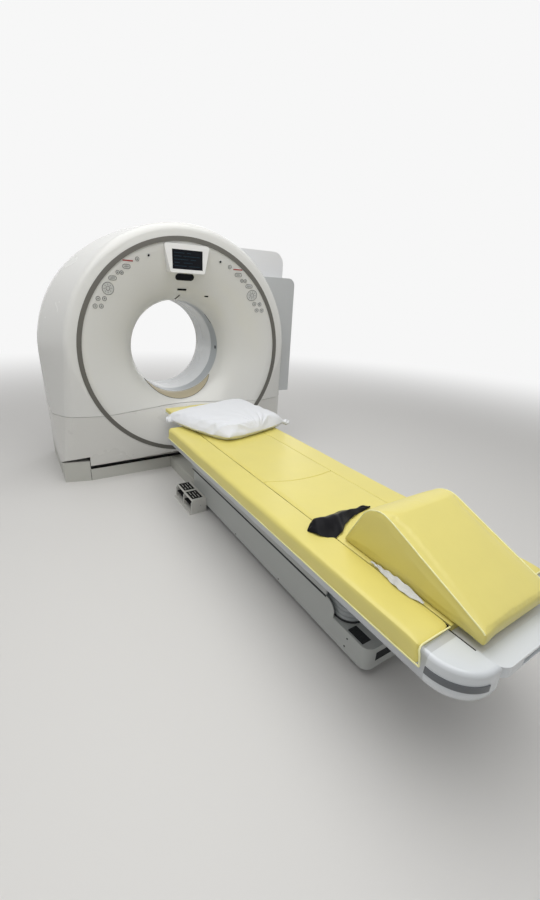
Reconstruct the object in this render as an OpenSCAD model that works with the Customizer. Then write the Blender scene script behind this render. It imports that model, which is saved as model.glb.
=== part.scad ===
// CT scanner: a tilting gantry on a low base, with a lifting patient table.
// The origin is on the floor under the isocentre. +Y runs from the table into the bore, +Z is up.

/* [Gantry] */
// Height of the bore centre and tilt axis above the floor
isocentre_z = 1000; // [990:5:1040]
// Radius of the patient bore
bore_r = 375; // [360:5:380]
// Outer radius of the dark trim ring on the face
ring_r = 810; // [800:2:816]
// Width of the trim ring
ring_w = 32; // [20:2:36]
// Ring plane in front of the scan plane
front_reach = 520; // [515:1:530]
// Front rim of the bore in front of the scan plane
bore_front = 228; // [215:1:235]
// Rear rim of the bore behind the scan plane
bore_rear = 224; // [222:1:230]
// Seam of the rear cover behind the scan plane
seam_reach = 390; // [385:1:400]
// Back face of the gantry behind the seam
rear_depth = 60; // [50:2:70]
// Height of the body above the bore centre
body_rise = 900; // [895:1:920]
// Half width of the body at its lower edge
side_half_w = 985; // [975:1:995]
// How much wider each side is at bore height
body_bulge = 35; // [25:1:55]
// Wall of the moulded covers
cover_wall = 10; // [6:1:12]
// Height of the seam between the upper and lower front cover
split_z = 550; // [500:10:580]
// Width of that seam
split_gap = 3; // [1:0.5:4]
// Width of each base cover beside the lower skirt
corner_w = 184; // [182:1:196]
// Lower edge of the front skirt above the floor
skirt_z = 118; // [116:1:125]

/* [Base] */
// Front of the plinth in front of the scan plane
plinth_front = 400; // [398:1:410]
// Height of the plinth covers
plinth_h = 95; // [80:1:100]
// Height of the base covers at the corners
corner_h = 165; // [150:1:168]
// How far the base stands in from the sides of the body
base_inset = 5; // [2:1:8]
// Wall of the plinth and base covers
plinth_wall = 6; // [4:1:8]
// Running gap between the tilting body and the base
tilt_gap = 8; // [6:1:12]
// Thickness of each tilt stand
stand_t = 40; // [30:1:42]
// Inner faces of the tilt stands in from the sides of the base
stand_inset = 90; // [86:1:92]
// Radius of the tilt trunnions
trunnion_r = 40; // [30:1:45]

/* [Rotor] */
// Outer radius of the rotor drum
drum_r = 780; // [760:2:784]
// Inner radius of the rotor hub
hub_r = 405; // [403:1:410]
// Thickness of the rotor plate
drum_plate_t = 20; // [14:1:26]
// Front face of the rotor plate behind the scan plane
drum_plate_y = 130; // [126:1:134]
// Distance of the focal spot from the bore centre
focus_r = 600; // [590:2:610]
// Pitch radius of the motor pulley
pulley_r = 50; // [40:1:55]

/* [Table] */
// Height of the pad surface at the lowest setting
pad_top_z = 561; // [555:1:575]
// Half width across the rail covers
table_half_w = 353; // [345:1:360]
// Half width of the cradle
cradle_half_w = 206; // [200:1:210]
// Head end of the cradle in front of the scan plane
cradle_head = 490; // [485:1:510]
// Head end of the rails in front of the scan plane
rail_head = 990; // [980:5:1010]
// Foot end of the rails in front of the scan plane
rail_foot = 3130; // [3100:5:3150]
// Length of the rounded rail noses
nose_l = 130; // [120:2:140]
// Thickness of the pad on the cradle
pad_t = 30; // [20:1:40]
// Half width of the pedestal
pedestal_half_w = 188; // [180:1:192]
// Head end of the pedestal in front of the scan plane
pedestal_head = 1000; // [990:5:1020]
// Foot end of the pedestal in front of the scan plane
pedestal_foot = 2815; // [2780:5:2840]
// Height of the pedestal's lower edge above the floor
pedestal_lift = 50; // [40:1:60]
// Top of the pedestal along its sides
pedestal_h = 235; // [225:1:240]
// Top of the pedestal's low deck at the foot end
deck_h = 160; // [150:1:175]
// Stroke of the table lift
lift_stroke = 420; // [380:5:425]

/* [Hidden] */
$fn = 96;
hull_fn = 32;
fit = 0.3;

// Gantry outline
body_half_w = side_half_w + body_bulge;
base_half_w = side_half_w - base_inset;
skirt_half_w = base_half_w - corner_w - 4;
stand_x = base_half_w - stand_inset;
face_r = ring_r + 35;
shoulder_r = 55;
shoulder_d = 45;
flank_y = front_reach - 50;
flank_half_w = side_half_w - 105;
skirt_y = plinth_front - 5;
corner_y = 353;
wide_y = 250;
rear_r = body_half_w - 30;
rear_drop = rear_r - body_rise;
// Radii about the tilt axis that the tilting body stays within, over the middle and over the base covers
skirt_sweep_r = norm([skirt_y - 5, isocentre_z - skirt_z]);
flank_sweep_r = norm([corner_y, isocentre_z - corner_h - tilt_gap - 3]);
base_sweep_r = flank_sweep_r + tilt_gap;

// Front funnel: a Bezier curve in radius and depth from the ring to the bore
funnel_rim = [ring_r - ring_w, -(front_reach - 5)];
funnel_bore = [bore_r, -bore_front];
funnel_ctrl = [bore_r + 0.08 * (funnel_rim[0] - bore_r),
    funnel_rim[1] + 0.38 * (funnel_bore[1] - funnel_rim[1])];
// Rear funnel
flare_bore = [bore_r, bore_rear];
flare_ctrl = [bore_r + 8, bore_rear + 0.6 * (seam_reach + rear_depth - bore_rear)];
flare_rim = [575, seam_reach + rear_depth];
curve_steps = 14;

// Rotor and drive
hub_wall = 27;
hub_back = 262;
bearing_front = 205;
bearing_back = 250;
bearing_w = 23;
frame_front = 205;
frame_back = 245;
frame_r = 840;
arm_in = drum_r + 18;
arm_out = stand_x - 30;
belt_y = 50;
belt_w = 40;
belt_t = 5;
pulley_x = -620;
pulley_z = isocentre_z - 640;

// Tilt gear: a toothed sector on the left trunnion arm and a pinion on the left stand
gear_m = 4;
sector_teeth = 60;
pinion_teeth = 15;
gear_w = 18;
gear_x = -(arm_out + 4 + gear_w);
backlash = 0.6;

// Table
cradle_z = pad_top_z - pad_t - 34;
cradle_foot = rail_foot + 70;
cradle_end_l = 70;
rail_in = cradle_half_w + 9;
rail_z = pad_top_z - 141;
rail_h = 125;
rail_edge_r = 45;
frame_z = 432;
frame_h = 50;
frame_half_w = 180;
column_ys = [-1420, -2280];
column_w = 150;
column_wall = 8;
plate_t = 14;
bellows_half_w = 168;
bellows_head = pedestal_head + 40;
bellows_foot = 2680;
bellows_ribs = 9;
skirt_foot = 2545;

// Places a shape drawn about Z on the bore axis, with its Z along +Y
module about_bore() translate([0, 0, isocentre_z]) rotate([-90, 0, 0]) children();

// Places a shape drawn about Z on the tilt axis, with its Z along +X
module about_tilt() translate([0, 0, isocentre_z]) rotate([0, 90, 0]) children();

// Copies a shape to the left and the right of the centre plane
module both_sides() for (side = [-1, 1]) scale([side, 1, 1]) children();

// A flat box given by its two corners
module span(low, high) translate(low) cube(high - low);

function bezier(a, b, c, t) = (1 - t) * (1 - t) * a + 2 * t * (1 - t) * b + t * t * c;
function bezier_dir(a, b, c, t) = 2 * (1 - t) * (b - a) + 2 * t * (c - b);
// Points of a Bezier curve pushed sideways by d
function pushed_curve(a, b, c, d) = [for (i = [0 : curve_steps])
    let (t = i / curve_steps, p = bezier(a, b, c, t), v = bezier_dir(a, b, c, t))
    p + d * [v[1], -v[0]] / norm(v)];
function reversed(list) = [for (i = [len(list) - 1 : -1 : 0]) list[i]];
// Depth of the funnel's surface at a radius, by walking along the curve
function funnel_t(r, lo = 0, hi = 1, n = 16) = n == 0 ? lo :
    let (mid = (lo + hi) / 2) bezier(funnel_rim, funnel_ctrl, funnel_bore, mid)[0] > r
        ? funnel_t(r, mid, hi, n - 1) : funnel_t(r, lo, mid, n - 1);
function funnel_y(r) = bezier(funnel_rim, funnel_ctrl, funnel_bore, funnel_t(r))[1];

// A skin on the funnel's visible side, between two distances from its surface
module funnel_skin(near, far)
    about_bore() rotate_extrude() polygon(concat(
        pushed_curve(funnel_rim, funnel_ctrl, funnel_bore, -near),
        reversed(pushed_curve(funnel_rim, funnel_ctrl, funnel_bore, -far))));

// One upright slice of the body outline at depth y: a half ellipse on top of straight sides
module outline_slice(y, half_w, rise, low_half_w, low_z) {
    translate([0, y, isocentre_z]) rotate([90, 0, 0]) linear_extrude(1, center = true)
        intersection() {
            scale([half_w / rise, 1]) circle(rise, $fn = 80);
            translate([-2 * half_w, 0]) square(4 * half_w);
        }
    translate([0, y, low_z + 0.5]) cube([2 * low_half_w, 1, 1], center = true);
    translate([0, y, split_z]) cube([2 * low_half_w, 1, 1], center = true);
}

// The whole body between the face and the rear seam, drawn in by inset and then open below
module body_form(inset) {
    low = inset > 0 ? skirt_z - 1 : skirt_z;
    hull() {
        translate([0, -(front_reach - inset) + 0.5, isocentre_z]) rotate([90, 0, 0])
            cylinder(r = ring_r + 15 - inset, h = 1, center = true);
        for (a = [0 : 22.5 : 90])
            translate([0, -(front_reach - shoulder_d) - (shoulder_d - inset) * cos(a), 0])
                intersection() {
                    translate([0, 0, isocentre_z]) rotate([90, 0, 0])
                        cylinder(r = face_r - inset + shoulder_r * sin(a), h = 1, center = true, $fn = 80);
                    translate([-1500, -1, isocentre_z - 100]) cube([3000, 2, 1500]);
                }
        translate([-(flank_half_w - inset), -flank_y + inset, split_z])
            cube([2 * (flank_half_w - inset), 1, 1]);
        translate([-(skirt_half_w - inset), -skirt_y + inset, low]) cube([2 * (skirt_half_w - inset), 1, 1]);
        translate([-(side_half_w - 10 - inset), -corner_y + inset, low])
            cube([2 * (side_half_w - 10 - inset), 1, 1]);
        outline_slice(-wide_y, body_half_w - inset, body_rise - inset, side_half_w - inset, low);
        intersection() {
            translate([0, seam_reach - 0.5, isocentre_z - rear_drop]) rotate([90, 0, 0])
                cylinder(r = rear_r - inset, h = 1, center = true, $fn = 80);
            span([-1500, seam_reach - 2, isocentre_z - rear_drop], [1500, seam_reach + 1, 3000]);
        }
        translate([-(side_half_w - 5 - inset), seam_reach - 1, low])
            cube([2 * (side_half_w - 5 - inset), 1, isocentre_z - low]);
    }
}

// What the tilting body may fill, clear of the base at every tilt
module tilt_envelope() {
    span([-1500, -1500, isocentre_z - 300], [1500, 1500, 3000]);
    about_tilt() cylinder(r = flank_sweep_r, h = 3000, center = true);
    about_tilt() cylinder(r = skirt_sweep_r, h = 2 * skirt_half_w, center = true);
}

// Floor frame: a flat plate across and a side member under each stand, with four anchor holes
anchor_x = 700;
anchor_y = 240;
anchor_r = 9;
plate_h = 24;
member_h = 75;
member_front = 330;
member_back = 370;
module base_frame() color([0.35, 0.36, 0.38]) difference() {
    union() {
        span([-skirt_half_w, -(plinth_front - plinth_wall - fit), 0],
            [skirt_half_w, plinth_front - plinth_wall - fit, plate_h]);
        both_sides() span([skirt_half_w - 1, -member_front, 0], [base_half_w - 30, member_back, plate_h]);
        both_sides() span([skirt_half_w + 24, -member_front, 0], [base_half_w - 30, member_back, member_h]);
    }
    both_sides() span([skirt_half_w + 40, -member_front + 20, plate_h],
        [stand_x - 12, member_back - 20, member_h + 1]);
    for (x = [-anchor_x, anchor_x], y = [-anchor_y, anchor_y])
        translate([x, y, -1]) cylinder(r = anchor_r, h = plate_h + 2);
}

// Front and rear plinth covers between the base covers, each with a lip turned in at the top
plinth_half_w = skirt_half_w + 4;
module plinth_covers() color([0.74, 0.73, 0.69]) for (side = [-1, 1]) scale([1, side, 1]) {
    span([-plinth_half_w, plinth_front - plinth_wall, 0], [plinth_half_w, plinth_front, plinth_h]);
    span([-plinth_half_w, plinth_front - 20, plinth_h - plinth_wall],
        [plinth_half_w, plinth_front, plinth_h]);
}

// Base covers under the sides, with tops that follow the swing of the tilting body
cover_in = plinth_half_w + fit;
module base_cover_plan(inset) polygon([[cover_in + inset, -plinth_front + inset],
    [base_half_w - inset, -corner_y + inset], [base_half_w - inset, plinth_front - inset],
    [cover_in + inset, plinth_front - inset]]);
module base_covers() color([0.74, 0.73, 0.69]) both_sides() difference() {
    linear_extrude(corner_h) base_cover_plan(0);
    about_tilt() cylinder(r = base_sweep_r, h = 3000, center = true);
    difference() {
        translate([0, 0, -1]) linear_extrude(corner_h - plinth_wall + 1) base_cover_plan(plinth_wall);
        about_tilt() cylinder(r = base_sweep_r + plinth_wall, h = 3000, center = true);
    }
    span([cover_in - 1, -member_front - 10, -1], [cover_in + plinth_wall + 1, member_back + 10,
        plate_h + fit]);
    span([stand_x - 4, stand_slot_front, 0], [stand_x + stand_t + 4, stand_foot_back + 6, corner_h + 1]);
}

// Tilt stands: upright plates from the side members to the trunnion bearings
stand_foot_front = 150;
stand_foot_back = 260;
stand_head_r = 105;
stand_lean = (stand_foot_front + stand_head_r) / (isocentre_z - member_h);
stand_slot_front = stand_foot_front - stand_lean * (corner_h - member_h) - 6;
bearing_seat_r = 62;
pinion_drop = gear_m * (sector_teeth + pinion_teeth) / 2;
module stand_side() difference() {
    union() {
        circle(stand_head_r);
        polygon([[-stand_head_r, 0], [stand_foot_front, member_h - isocentre_z],
            [stand_foot_back, member_h - isocentre_z], [stand_head_r, 0]]);
    }
    circle(bearing_seat_r);
    translate([0, -pinion_drop]) circle(14);
    translate([95, -560]) circle(45);
    translate([50, -340]) circle(45);
}
module tilt_stands() color([0.35, 0.36, 0.38]) both_sides() translate([stand_x, 0, isocentre_z])
    rotate([90, 0, 90]) linear_extrude(stand_t) stand_side();

// Tilt bearings: bushes in the stands that carry the trunnions
module tilt_bearings() color([0.72, 0.72, 0.74]) both_sides() translate([stand_x, 0, isocentre_z])
    rotate([0, 90, 0]) difference() {
        cylinder(r = bearing_seat_r, h = stand_t);
        translate([0, 0, -1]) cylinder(r = trunnion_r + 0.05, h = stand_t + 2);
    }

// Involute gear outline
function involute(base, a) = base * [cos(a) + a * PI / 180 * sin(a), sin(a) - a * PI / 180 * cos(a)];
function turned(p, a) = [p[0] * cos(a) - p[1] * sin(a), p[0] * sin(a) + p[1] * cos(a)];
function roll_angle(radius, base) = sqrt(pow(radius / base, 2) - 1) * 180 / PI;
function flank(teeth, steps = 4) = let (pitch = gear_m * teeth / 2, base = pitch * cos(20),
    at_pitch = involute(base, roll_angle(pitch, base)), tip_roll = roll_angle(pitch + 0.9 * gear_m, base),
    half = 90 / teeth - backlash / pitch * 45 / PI + atan2(at_pitch[1], at_pitch[0]))
    [for (i = [0 : steps]) turned(involute(base, tip_roll * i / steps), -half)];
module gear_outline(teeth, from, to) {
    side = flank(teeth);
    circle(gear_m * teeth / 2 - gear_m * 1.2);
    for (i = [from : to]) rotate(i * 360 / teeth)
        polygon(concat([[0, 0]], side, reversed([for (p = side) [p[0], -p[1]]])));
}

// Pinion that meshes with the sector below the trunnion, on a shaft that runs into the tilt motor
tilt_motor_t = 34;
pinion_shaft_r = 10;
module tilt_pinion() color([0.6, 0.6, 0.62]) translate([gear_x, 0, isocentre_z - pinion_drop])
    rotate([90, 0, 90]) {
        linear_extrude(gear_w) rotate(90 - 180 / pinion_teeth)
            gear_outline(pinion_teeth, 0, pinion_teeth - 1);
        shaft_l = stand_x + gear_x + stand_t + tilt_motor_t - 6;
        translate([0, 0, -shaft_l]) cylinder(r = pinion_shaft_r, h = shaft_l);
    }

// Tilt gear motor on the outside of the left stand
module tilt_motor() color([0.3, 0.3, 0.32]) translate([-stand_x - stand_t, 0, isocentre_z - pinion_drop])
    rotate([0, -90, 0]) difference() {
        union() {
            cylinder(r = 46, h = tilt_motor_t);
            translate([-60, -60, 0]) cube([120, 120, 8]);
        }
        translate([0, 0, -1]) cylinder(r = pinion_shaft_r + 0.05, h = tilt_motor_t - 4);
    }

// Tilt frame: a plate behind the rotor with an arm, a boss and a trunnion on each side, stays to the covers
stay_r = 11;
stay_at = 835;
stay_angles = [32, 148];
post_at = 700;
post_angles = [45, 135, 225, 315];
foot_in = 560;
foot_drop = 700;
module tilt_frame() color([0.42, 0.43, 0.46]) {
    difference() {
        union() {
            about_bore() translate([0, 0, frame_front]) cylinder(r = frame_r, h = frame_back - frame_front);
            both_sides() span([foot_in, frame_front, isocentre_z - foot_drop],
                [arm_out, frame_back, isocentre_z + 130]);
            both_sides() span([arm_in, -70, isocentre_z - 130],
                [arm_out, frame_back, isocentre_z + 130]);
            both_sides() translate([arm_out, 0, isocentre_z]) rotate([0, 90, 0]) {
                cylinder(r = trunnion_r + 12, h = 4);
                cylinder(r = trunnion_r, h = stand_x + stand_t - arm_out + 4);
            }
            for (a = stay_angles) about_bore() rotate(-a) translate([stay_at, 0, -(front_reach - 40)])
                cylinder(r = stay_r, h = front_reach - 40 + frame_front);
            for (a = post_angles) about_bore() rotate(a) translate([post_at, 0, frame_front])
                cylinder(r = stay_r, h = seam_reach + rear_depth - cover_wall - fit - frame_front);
        }
        about_bore() translate([0, 0, frame_front - 1])
            cylinder(r = hub_r + hub_wall + 2 * bearing_w, h = frame_back - frame_front + 2);
        for (a = [20 : 40 : 340]) about_bore() rotate(a) translate([665, 0, frame_front - 1])
            cylinder(r = 85, h = frame_back - frame_front + 2);
    }
}

// Toothed sector on the left trunnion
sector_from = -22;
sector_to = -11;
module tilt_sector() color([0.6, 0.6, 0.62]) translate([gear_x, 0, isocentre_z]) rotate([90, 0, 90])
    linear_extrude(gear_w) difference() {
        gear_outline(sector_teeth, sector_from, sector_to);
        circle(trunnion_r + 0.1);
    }

// Main bearing: the outer ring sits in the tilt frame, the inner ring on the rotor hub
race_r = hub_r + hub_wall + bearing_w;
module bearing_outer() color([0.66, 0.67, 0.7]) about_bore() difference() {
    translate([0, 0, bearing_front]) cylinder(r = race_r + bearing_w, h = bearing_back - bearing_front);
    translate([0, 0, bearing_front - 1]) cylinder(r = race_r + fit, h = bearing_back - bearing_front + 2);
}
module bearing_inner() color([0.75, 0.76, 0.78]) about_bore() difference() {
    translate([0, 0, bearing_front]) cylinder(r = race_r, h = bearing_back - bearing_front);
    translate([0, 0, bearing_front - 1])
        cylinder(r = hub_r + hub_wall, h = bearing_back - bearing_front + 2);
}

// Front cover: the moulded shell with the funnel, cut in two at the seam
module funnel_wall() about_bore() difference() {
    rotate_extrude() polygon(concat(
        pushed_curve(funnel_rim, funnel_ctrl, funnel_bore, 0),
        reversed(pushed_curve(funnel_rim, funnel_ctrl, funnel_bore, cover_wall)),
        [[ring_r + 2, funnel_rim[1] + cover_wall], [ring_r + 2, funnel_rim[1]]]));
    translate([0, 0, -bore_front - fit]) cylinder(r = bore_r + 2 * cover_wall, h = 20);
}
module front_shell() intersection() {
    union() {
        difference() {
            body_form(0);
            body_form(cover_wall);
            about_bore() translate([0, 0, -front_reach - 1]) cylinder(r = ring_r, h = 20);
            about_bore() translate([0, 0, seam_reach - 2]) cylinder(r = 2000, h = 20);
        }
        funnel_wall();
    }
    tilt_envelope();
}
module front_cover_upper() color([0.86, 0.86, 0.84]) intersection() {
    front_shell();
    span([-1500, -1500, split_z + split_gap / 2], [1500, 1500, 3000]);
}
// The lower cover has a lip behind the seam that the upper cover hangs over
lip_h = 14;
lip_t = 6;
module front_cover_lower() color([0.84, 0.84, 0.82]) {
    intersection() {
        front_shell();
        span([-1500, -1500, 0], [1500, 1500, split_z - split_gap / 2]);
    }
    difference() {
        union() {
            intersection() {
                body_form(1);
                both_sides() span([flank_half_w, -wide_y, split_z - 30],
                    [1500, wide_y, split_z - split_gap / 2]);
            }
            intersection() {
                body_form(cover_wall + fit);
                both_sides() span([flank_half_w, -wide_y, split_z - 30],
                    [1500, wide_y, split_z + lip_h]);
            }
        }
        body_form(cover_wall + lip_t);
    }
}

// Trim ring let into the face
module trim_ring() color([0.32, 0.31, 0.29]) about_bore() difference() {
    translate([0, 0, -front_reach - 4]) cylinder(r = ring_r - fit, h = 9 - fit);
    translate([0, 0, -front_reach - 5]) cylinder(r = ring_r - ring_w + fit, h = 12);
}

// Bore liners and the thin scan window between them
window_half = 100;
module liner(from, to, wall) about_bore() difference() {
    translate([0, 0, from]) cylinder(r = bore_r + wall, h = to - from);
    translate([0, 0, from - 1]) cylinder(r = bore_r, h = to - from + 2);
}
module bore_liner_front() color([0.66, 0.68, 0.7]) liner(-bore_front, -window_half, 8);
module scan_window() color([0.85, 0.86, 0.86]) liner(-window_half, window_half, 4);
module bore_liner_rear() color([0.9, 0.91, 0.91]) liner(window_half, bore_rear, 8);

// Tan sill inlay: a crescent on the funnel's lower lip
sill_drop = 94;
sill_r = bore_r - 51;
module bore_sill() color([0.72, 0.66, 0.54]) difference() {
    intersection() {
        funnel_skin(fit, 3);
        translate([0, 0, isocentre_z - sill_drop]) rotate([90, 0, 0])
            cylinder(r = sill_r, h = front_reach);
    }
    translate([0, 0, isocentre_z]) rotate([90, 0, 0]) cylinder(r = bore_r + 1.5, h = front_reach);
}

// Rear cover: the back of the body with a round flare into the bore
module rear_form(inset) hull() for (a = [0 : 30 : 90]) {
    draw = inset + rear_depth * (1 - cos(a));
    y = seam_reach + (rear_depth - inset) * sin(a);
    low = inset > 0 ? skirt_z - 1 + (rear_depth + inset) * (1 - cos(a)) : skirt_z + draw;
    translate([0, y - 0.5, isocentre_z - rear_drop]) rotate([90, 0, 0])
        cylinder(r = rear_r - draw, h = 1, center = true, $fn = 80);
    translate([-(side_half_w - 5 - draw), y - 1, low])
        cube([2 * (side_half_w - 5 - draw), 1, isocentre_z - low]);
}
module flare_wall() about_bore() rotate_extrude() polygon(concat(
    pushed_curve(flare_bore, flare_ctrl, flare_rim, 0),
    [[flare_rim[0] + 20, flare_rim[1]], [flare_rim[0] + 20, flare_rim[1] - cover_wall]],
    reversed(pushed_curve(flare_bore, flare_ctrl, flare_rim, cover_wall))));
module rear_cover() color([0.86, 0.86, 0.84]) intersection() {
    union() {
        difference() {
            rear_form(0);
            rear_form(cover_wall);
            about_bore() translate([0, 0, seam_reach - 2])
                cylinder(r = flare_rim[0] + 10, h = rear_depth + 4);
        }
        flare_wall();
    }
    tilt_envelope();
    span([-1500, bore_rear, 0], [1500, 1500, 3000]);
}

// A housing on the right shoulder: a rounded box from the body outward, open towards the body
module shoulder_box(x_out, z_low, z_top, y_front, y_back, edge_r, inset) {
    x_in = roof_in;
    translate([0, y_back - inset, 0]) rotate([90, 0, 0])
        linear_extrude(y_back - y_front - 2 * inset) {
            translate([x_in, z_low - inset]) square([x_out - inset - x_in, z_top - edge_r - z_low + inset]);
            translate([x_in, z_top - edge_r - 1]) square([x_out - edge_r - x_in, edge_r + 1 - inset]);
            translate([x_out - edge_r, z_top - edge_r]) circle(edge_r - inset);
        }
}
shoulder_wall = 8;
cabinet_half_w = body_half_w + 12;
cabinet_rise = 590;
cabinet_drop = 400;
cabinet_top = isocentre_z + cabinet_rise;
cabinet_low = isocentre_z - cabinet_drop;
cabinet_front = -430;
roof_rise = 800;
roof_top = isocentre_z + roof_rise;
roof_in = 300;
roof_edge_r = 100;
cabinet_edge_r = 60;
roof_front = -300;
housing_back = seam_reach - 4;
module right_cabinet() color([0.72, 0.73, 0.73]) difference() {
    shoulder_box(cabinet_half_w, cabinet_low, cabinet_top, cabinet_front, housing_back,
        cabinet_edge_r, 0);
    translate([0, 0, -2 * shoulder_wall])
        shoulder_box(cabinet_half_w, cabinet_low, cabinet_top + shoulder_wall, cabinet_front, housing_back,
            cabinet_edge_r, shoulder_wall);
    body_form(-fit);
}
module roof_housing() color([0.88, 0.88, 0.87]) difference() {
    shoulder_box(side_half_w, cabinet_top + fit, roof_top, roof_front, housing_back, roof_edge_r, 0);
    translate([0, 0, -2 * shoulder_wall])
        shoulder_box(side_half_w, cabinet_top, roof_top + shoulder_wall, roof_front, housing_back,
            roof_edge_r, shoulder_wall);
    body_form(-fit);
}

// Everything on the cover's side of the funnel surface, used to seat trim on the funnel
module funnel_block() about_bore() rotate_extrude() polygon(concat(
    pushed_curve(funnel_rim, funnel_ctrl, funnel_bore, -fit),
    [[bore_r - fit, 200], [ring_r + 200, 200], [ring_r + 200, funnel_rim[1] - fit]]));

// Display pod over the bore, with the screen let into its face
pod_y = front_reach + 10;
pod_low = isocentre_z + 568;
pod_top = isocentre_z + 758;
pod_half_w = [136, 170];
pod_corner_r = 18;
pod_side = [for (i = [0, 1]) arc(pod_half_w[i] - pod_corner_r,
    i == 0 ? pod_low + pod_corner_r : pod_top - pod_corner_r, pod_corner_r, -90 * (1 - i), 90 * i, 4)];
screen_half_w = 116;
screen_rise = [592, 722];
screen_low = isocentre_z + screen_rise[0];
screen_top = isocentre_z + screen_rise[1];
screen_t = 5;
module display_pod() color([0.84, 0.84, 0.82]) difference() {
    intersection() {
        translate([0, -300, 0]) rotate([90, 0, 0]) linear_extrude(pod_y - 300)
            polygon(concat(pod_side[0], pod_side[1],
                reversed([for (p = concat(pod_side[0], pod_side[1])) [-p[0], p[1]]])));
        about_bore() translate([0, 0, -pod_y - 1]) cylinder(r = ring_r - ring_w - fit, h = 400);
    }
    funnel_block();
    span([-screen_half_w, -pod_y - 1, screen_low], [screen_half_w, -pod_y + screen_t, screen_top]);
}
module display_screen() color([0.05, 0.06, 0.08]) span([-screen_half_w + fit, -pod_y + 1, screen_low + fit],
    [screen_half_w - fit, -pod_y + screen_t - fit, screen_top - fit]);

// A flat-ended oval along +Y, centred at x and z
module oval(x, z, half_l, r) translate([x, 0, z]) rotate([90, 0, 0]) linear_extrude(front_reach + 50) {
    if (half_l > 0) square([2 * half_l, 2 * r], center = true);
    for (end = half_l > 0 ? [-half_l, half_l] : [0]) translate([end, 0]) circle(r, $fn = 32);
}
module sensor_window() color([0.08, 0.08, 0.09]) intersection() {
    funnel_skin(fit, 3);
    oval(14, isocentre_z + 542, 50, 23);
}
module laser_windows() color([0.1, 0.1, 0.11]) intersection() {
    funnel_skin(fit, 2.5);
    union() {
        oval(12, isocentre_z + 454, 30, 7);
        oval(214, isocentre_z + 412, 10, 5);
        translate([0, 0, isocentre_z + 396]) rotate([0, 25, 0])
            span([-4, -front_reach, -19], [4, 0, 19]);
    }
}

// Membrane keys on both sides of the face: x, height over the bore centre, half length and radius
keys = [[356, 636, 0, 13], [432, 584, 14, 13], [466, 543, 0, 12], [494, 543, 0, 12], [530, 505, 14, 13],
    [564, 437, 0, 40], [592, 371, 0, 14], [636, 371, 0, 14], [617, 322, 0, 14], [659, 322, 0, 14]];
module control_keys() color([0.66, 0.67, 0.66]) intersection() {
    funnel_skin(fit, 2);
    both_sides() for (k = keys) oval(k[0], isocentre_z + k[1], k[2], k[3]);
}
module beam_lamps() color([0.75, 0.12, 0.1]) intersection() {
    funnel_skin(fit, 2.5);
    both_sides() span([386, -front_reach - 20, isocentre_z + 617], [458, 0, isocentre_z + 625]);
}
module intercoms() color([0.12, 0.12, 0.13]) intersection() {
    funnel_skin(fit, 2.5);
    both_sides() oval(275, isocentre_z + 666, 0, 10);
}

// Drive motor on the tilt frame, its pulley, and the belt round the drum
motor_r = 60;
motor_shaft_r = 12;
module at_pulley(y) translate([pulley_x, y, pulley_z]) rotate([-90, 0, 0]) children();
module drive_motor() color([0.25, 0.26, 0.28]) at_pulley(belt_y + belt_w + 6) difference() {
    cylinder(r = motor_r, h = frame_front - belt_y - belt_w - 6);
    translate([0, 0, -1]) cylinder(r = motor_shaft_r + 0.05, h = 80);
}
module motor_pulley() color([0.7, 0.7, 0.72]) at_pulley(belt_y - 4) {
    cylinder(r = pulley_r, h = belt_w + 8);
    cylinder(r = motor_shaft_r, h = belt_w + 60);
}
module belt_loop(grow) hull() {
    circle((drum_r + grow) / cos(180 / $fn));
    translate([pulley_x, isocentre_z - pulley_z]) circle((pulley_r + grow) / cos(180 / $fn));
}
module drive_belt() color([0.12, 0.12, 0.12]) about_bore() translate([0, 0, belt_y]) linear_extrude(belt_w)
    difference() {
        belt_loop(belt_t);
        belt_loop(0.5);
    }

// Rotor: drum, tube housing, collimator, high voltage tank, detector arc, counterweight and slip ring
rim_t = 14;
module rotor_drum() color([0.62, 0.63, 0.66]) about_bore() difference() {
    union() {
        translate([0, 0, drum_plate_y]) cylinder(r = drum_r, h = drum_plate_t);
        translate([0, 0, drum_plate_y]) cylinder(r = hub_r + hub_wall, h = hub_back - drum_plate_y);
        translate([0, 0, belt_y - 15]) cylinder(r = drum_r, h = drum_plate_y + drum_plate_t - belt_y + 15);
    }
    translate([0, 0, belt_y - 16]) cylinder(r = drum_r - rim_t, h = drum_plate_y - belt_y + 16);
    translate([0, 0, drum_plate_y - 1]) cylinder(r = hub_r, h = hub_back);
    for (a = [30 : 30 : 330]) if (a % 90 != 0) rotate(a) translate([600, 0, drum_plate_y - 1])
        cylinder(r = 60, h = drum_plate_t + 2);
}
tube_r = 92;
tube_front = 160;
module tube_housing() color([0.78, 0.78, 0.8]) translate([0, drum_plate_y, isocentre_z + focus_r])
    rotate([90, 0, 0]) rotate_extrude() polygon([[0, 0], [tube_r, 0], [tube_r, 40], [tube_r - 8, 48],
        [tube_r - 8, drum_plate_y + tube_front - 40], [tube_r - 40, drum_plate_y + tube_front],
        [0, drum_plate_y + tube_front]]);
module collimator() color([0.5, 0.51, 0.54]) difference() {
    span([-90, -60, isocentre_z + focus_r - tube_r - 63],
        [90, drum_plate_y, isocentre_z + focus_r - tube_r - fit]);
    span([-60, -12, isocentre_z], [60, 12, isocentre_z + focus_r]);
}
tank_x = [-(drum_r - 80), -(drum_r - 250)];
tank_half_h = 140;
tank_front = 130;
fin_t = 12;
fin_l = 5;
module high_voltage_tank() color([0.55, 0.56, 0.58]) {
    span([tank_x[0], -tank_front, isocentre_z - tank_half_h],
        [tank_x[1], drum_plate_y, isocentre_z + tank_half_h]);
    for (i = [-3 : 2]) translate([0, 0, isocentre_z + i * tank_half_h * 2 / 7 + fin_t])
        span([tank_x[0] - fin_l, -tank_front + 10, 0], [tank_x[0], drum_plate_y - 10, fin_t]);
}
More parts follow.
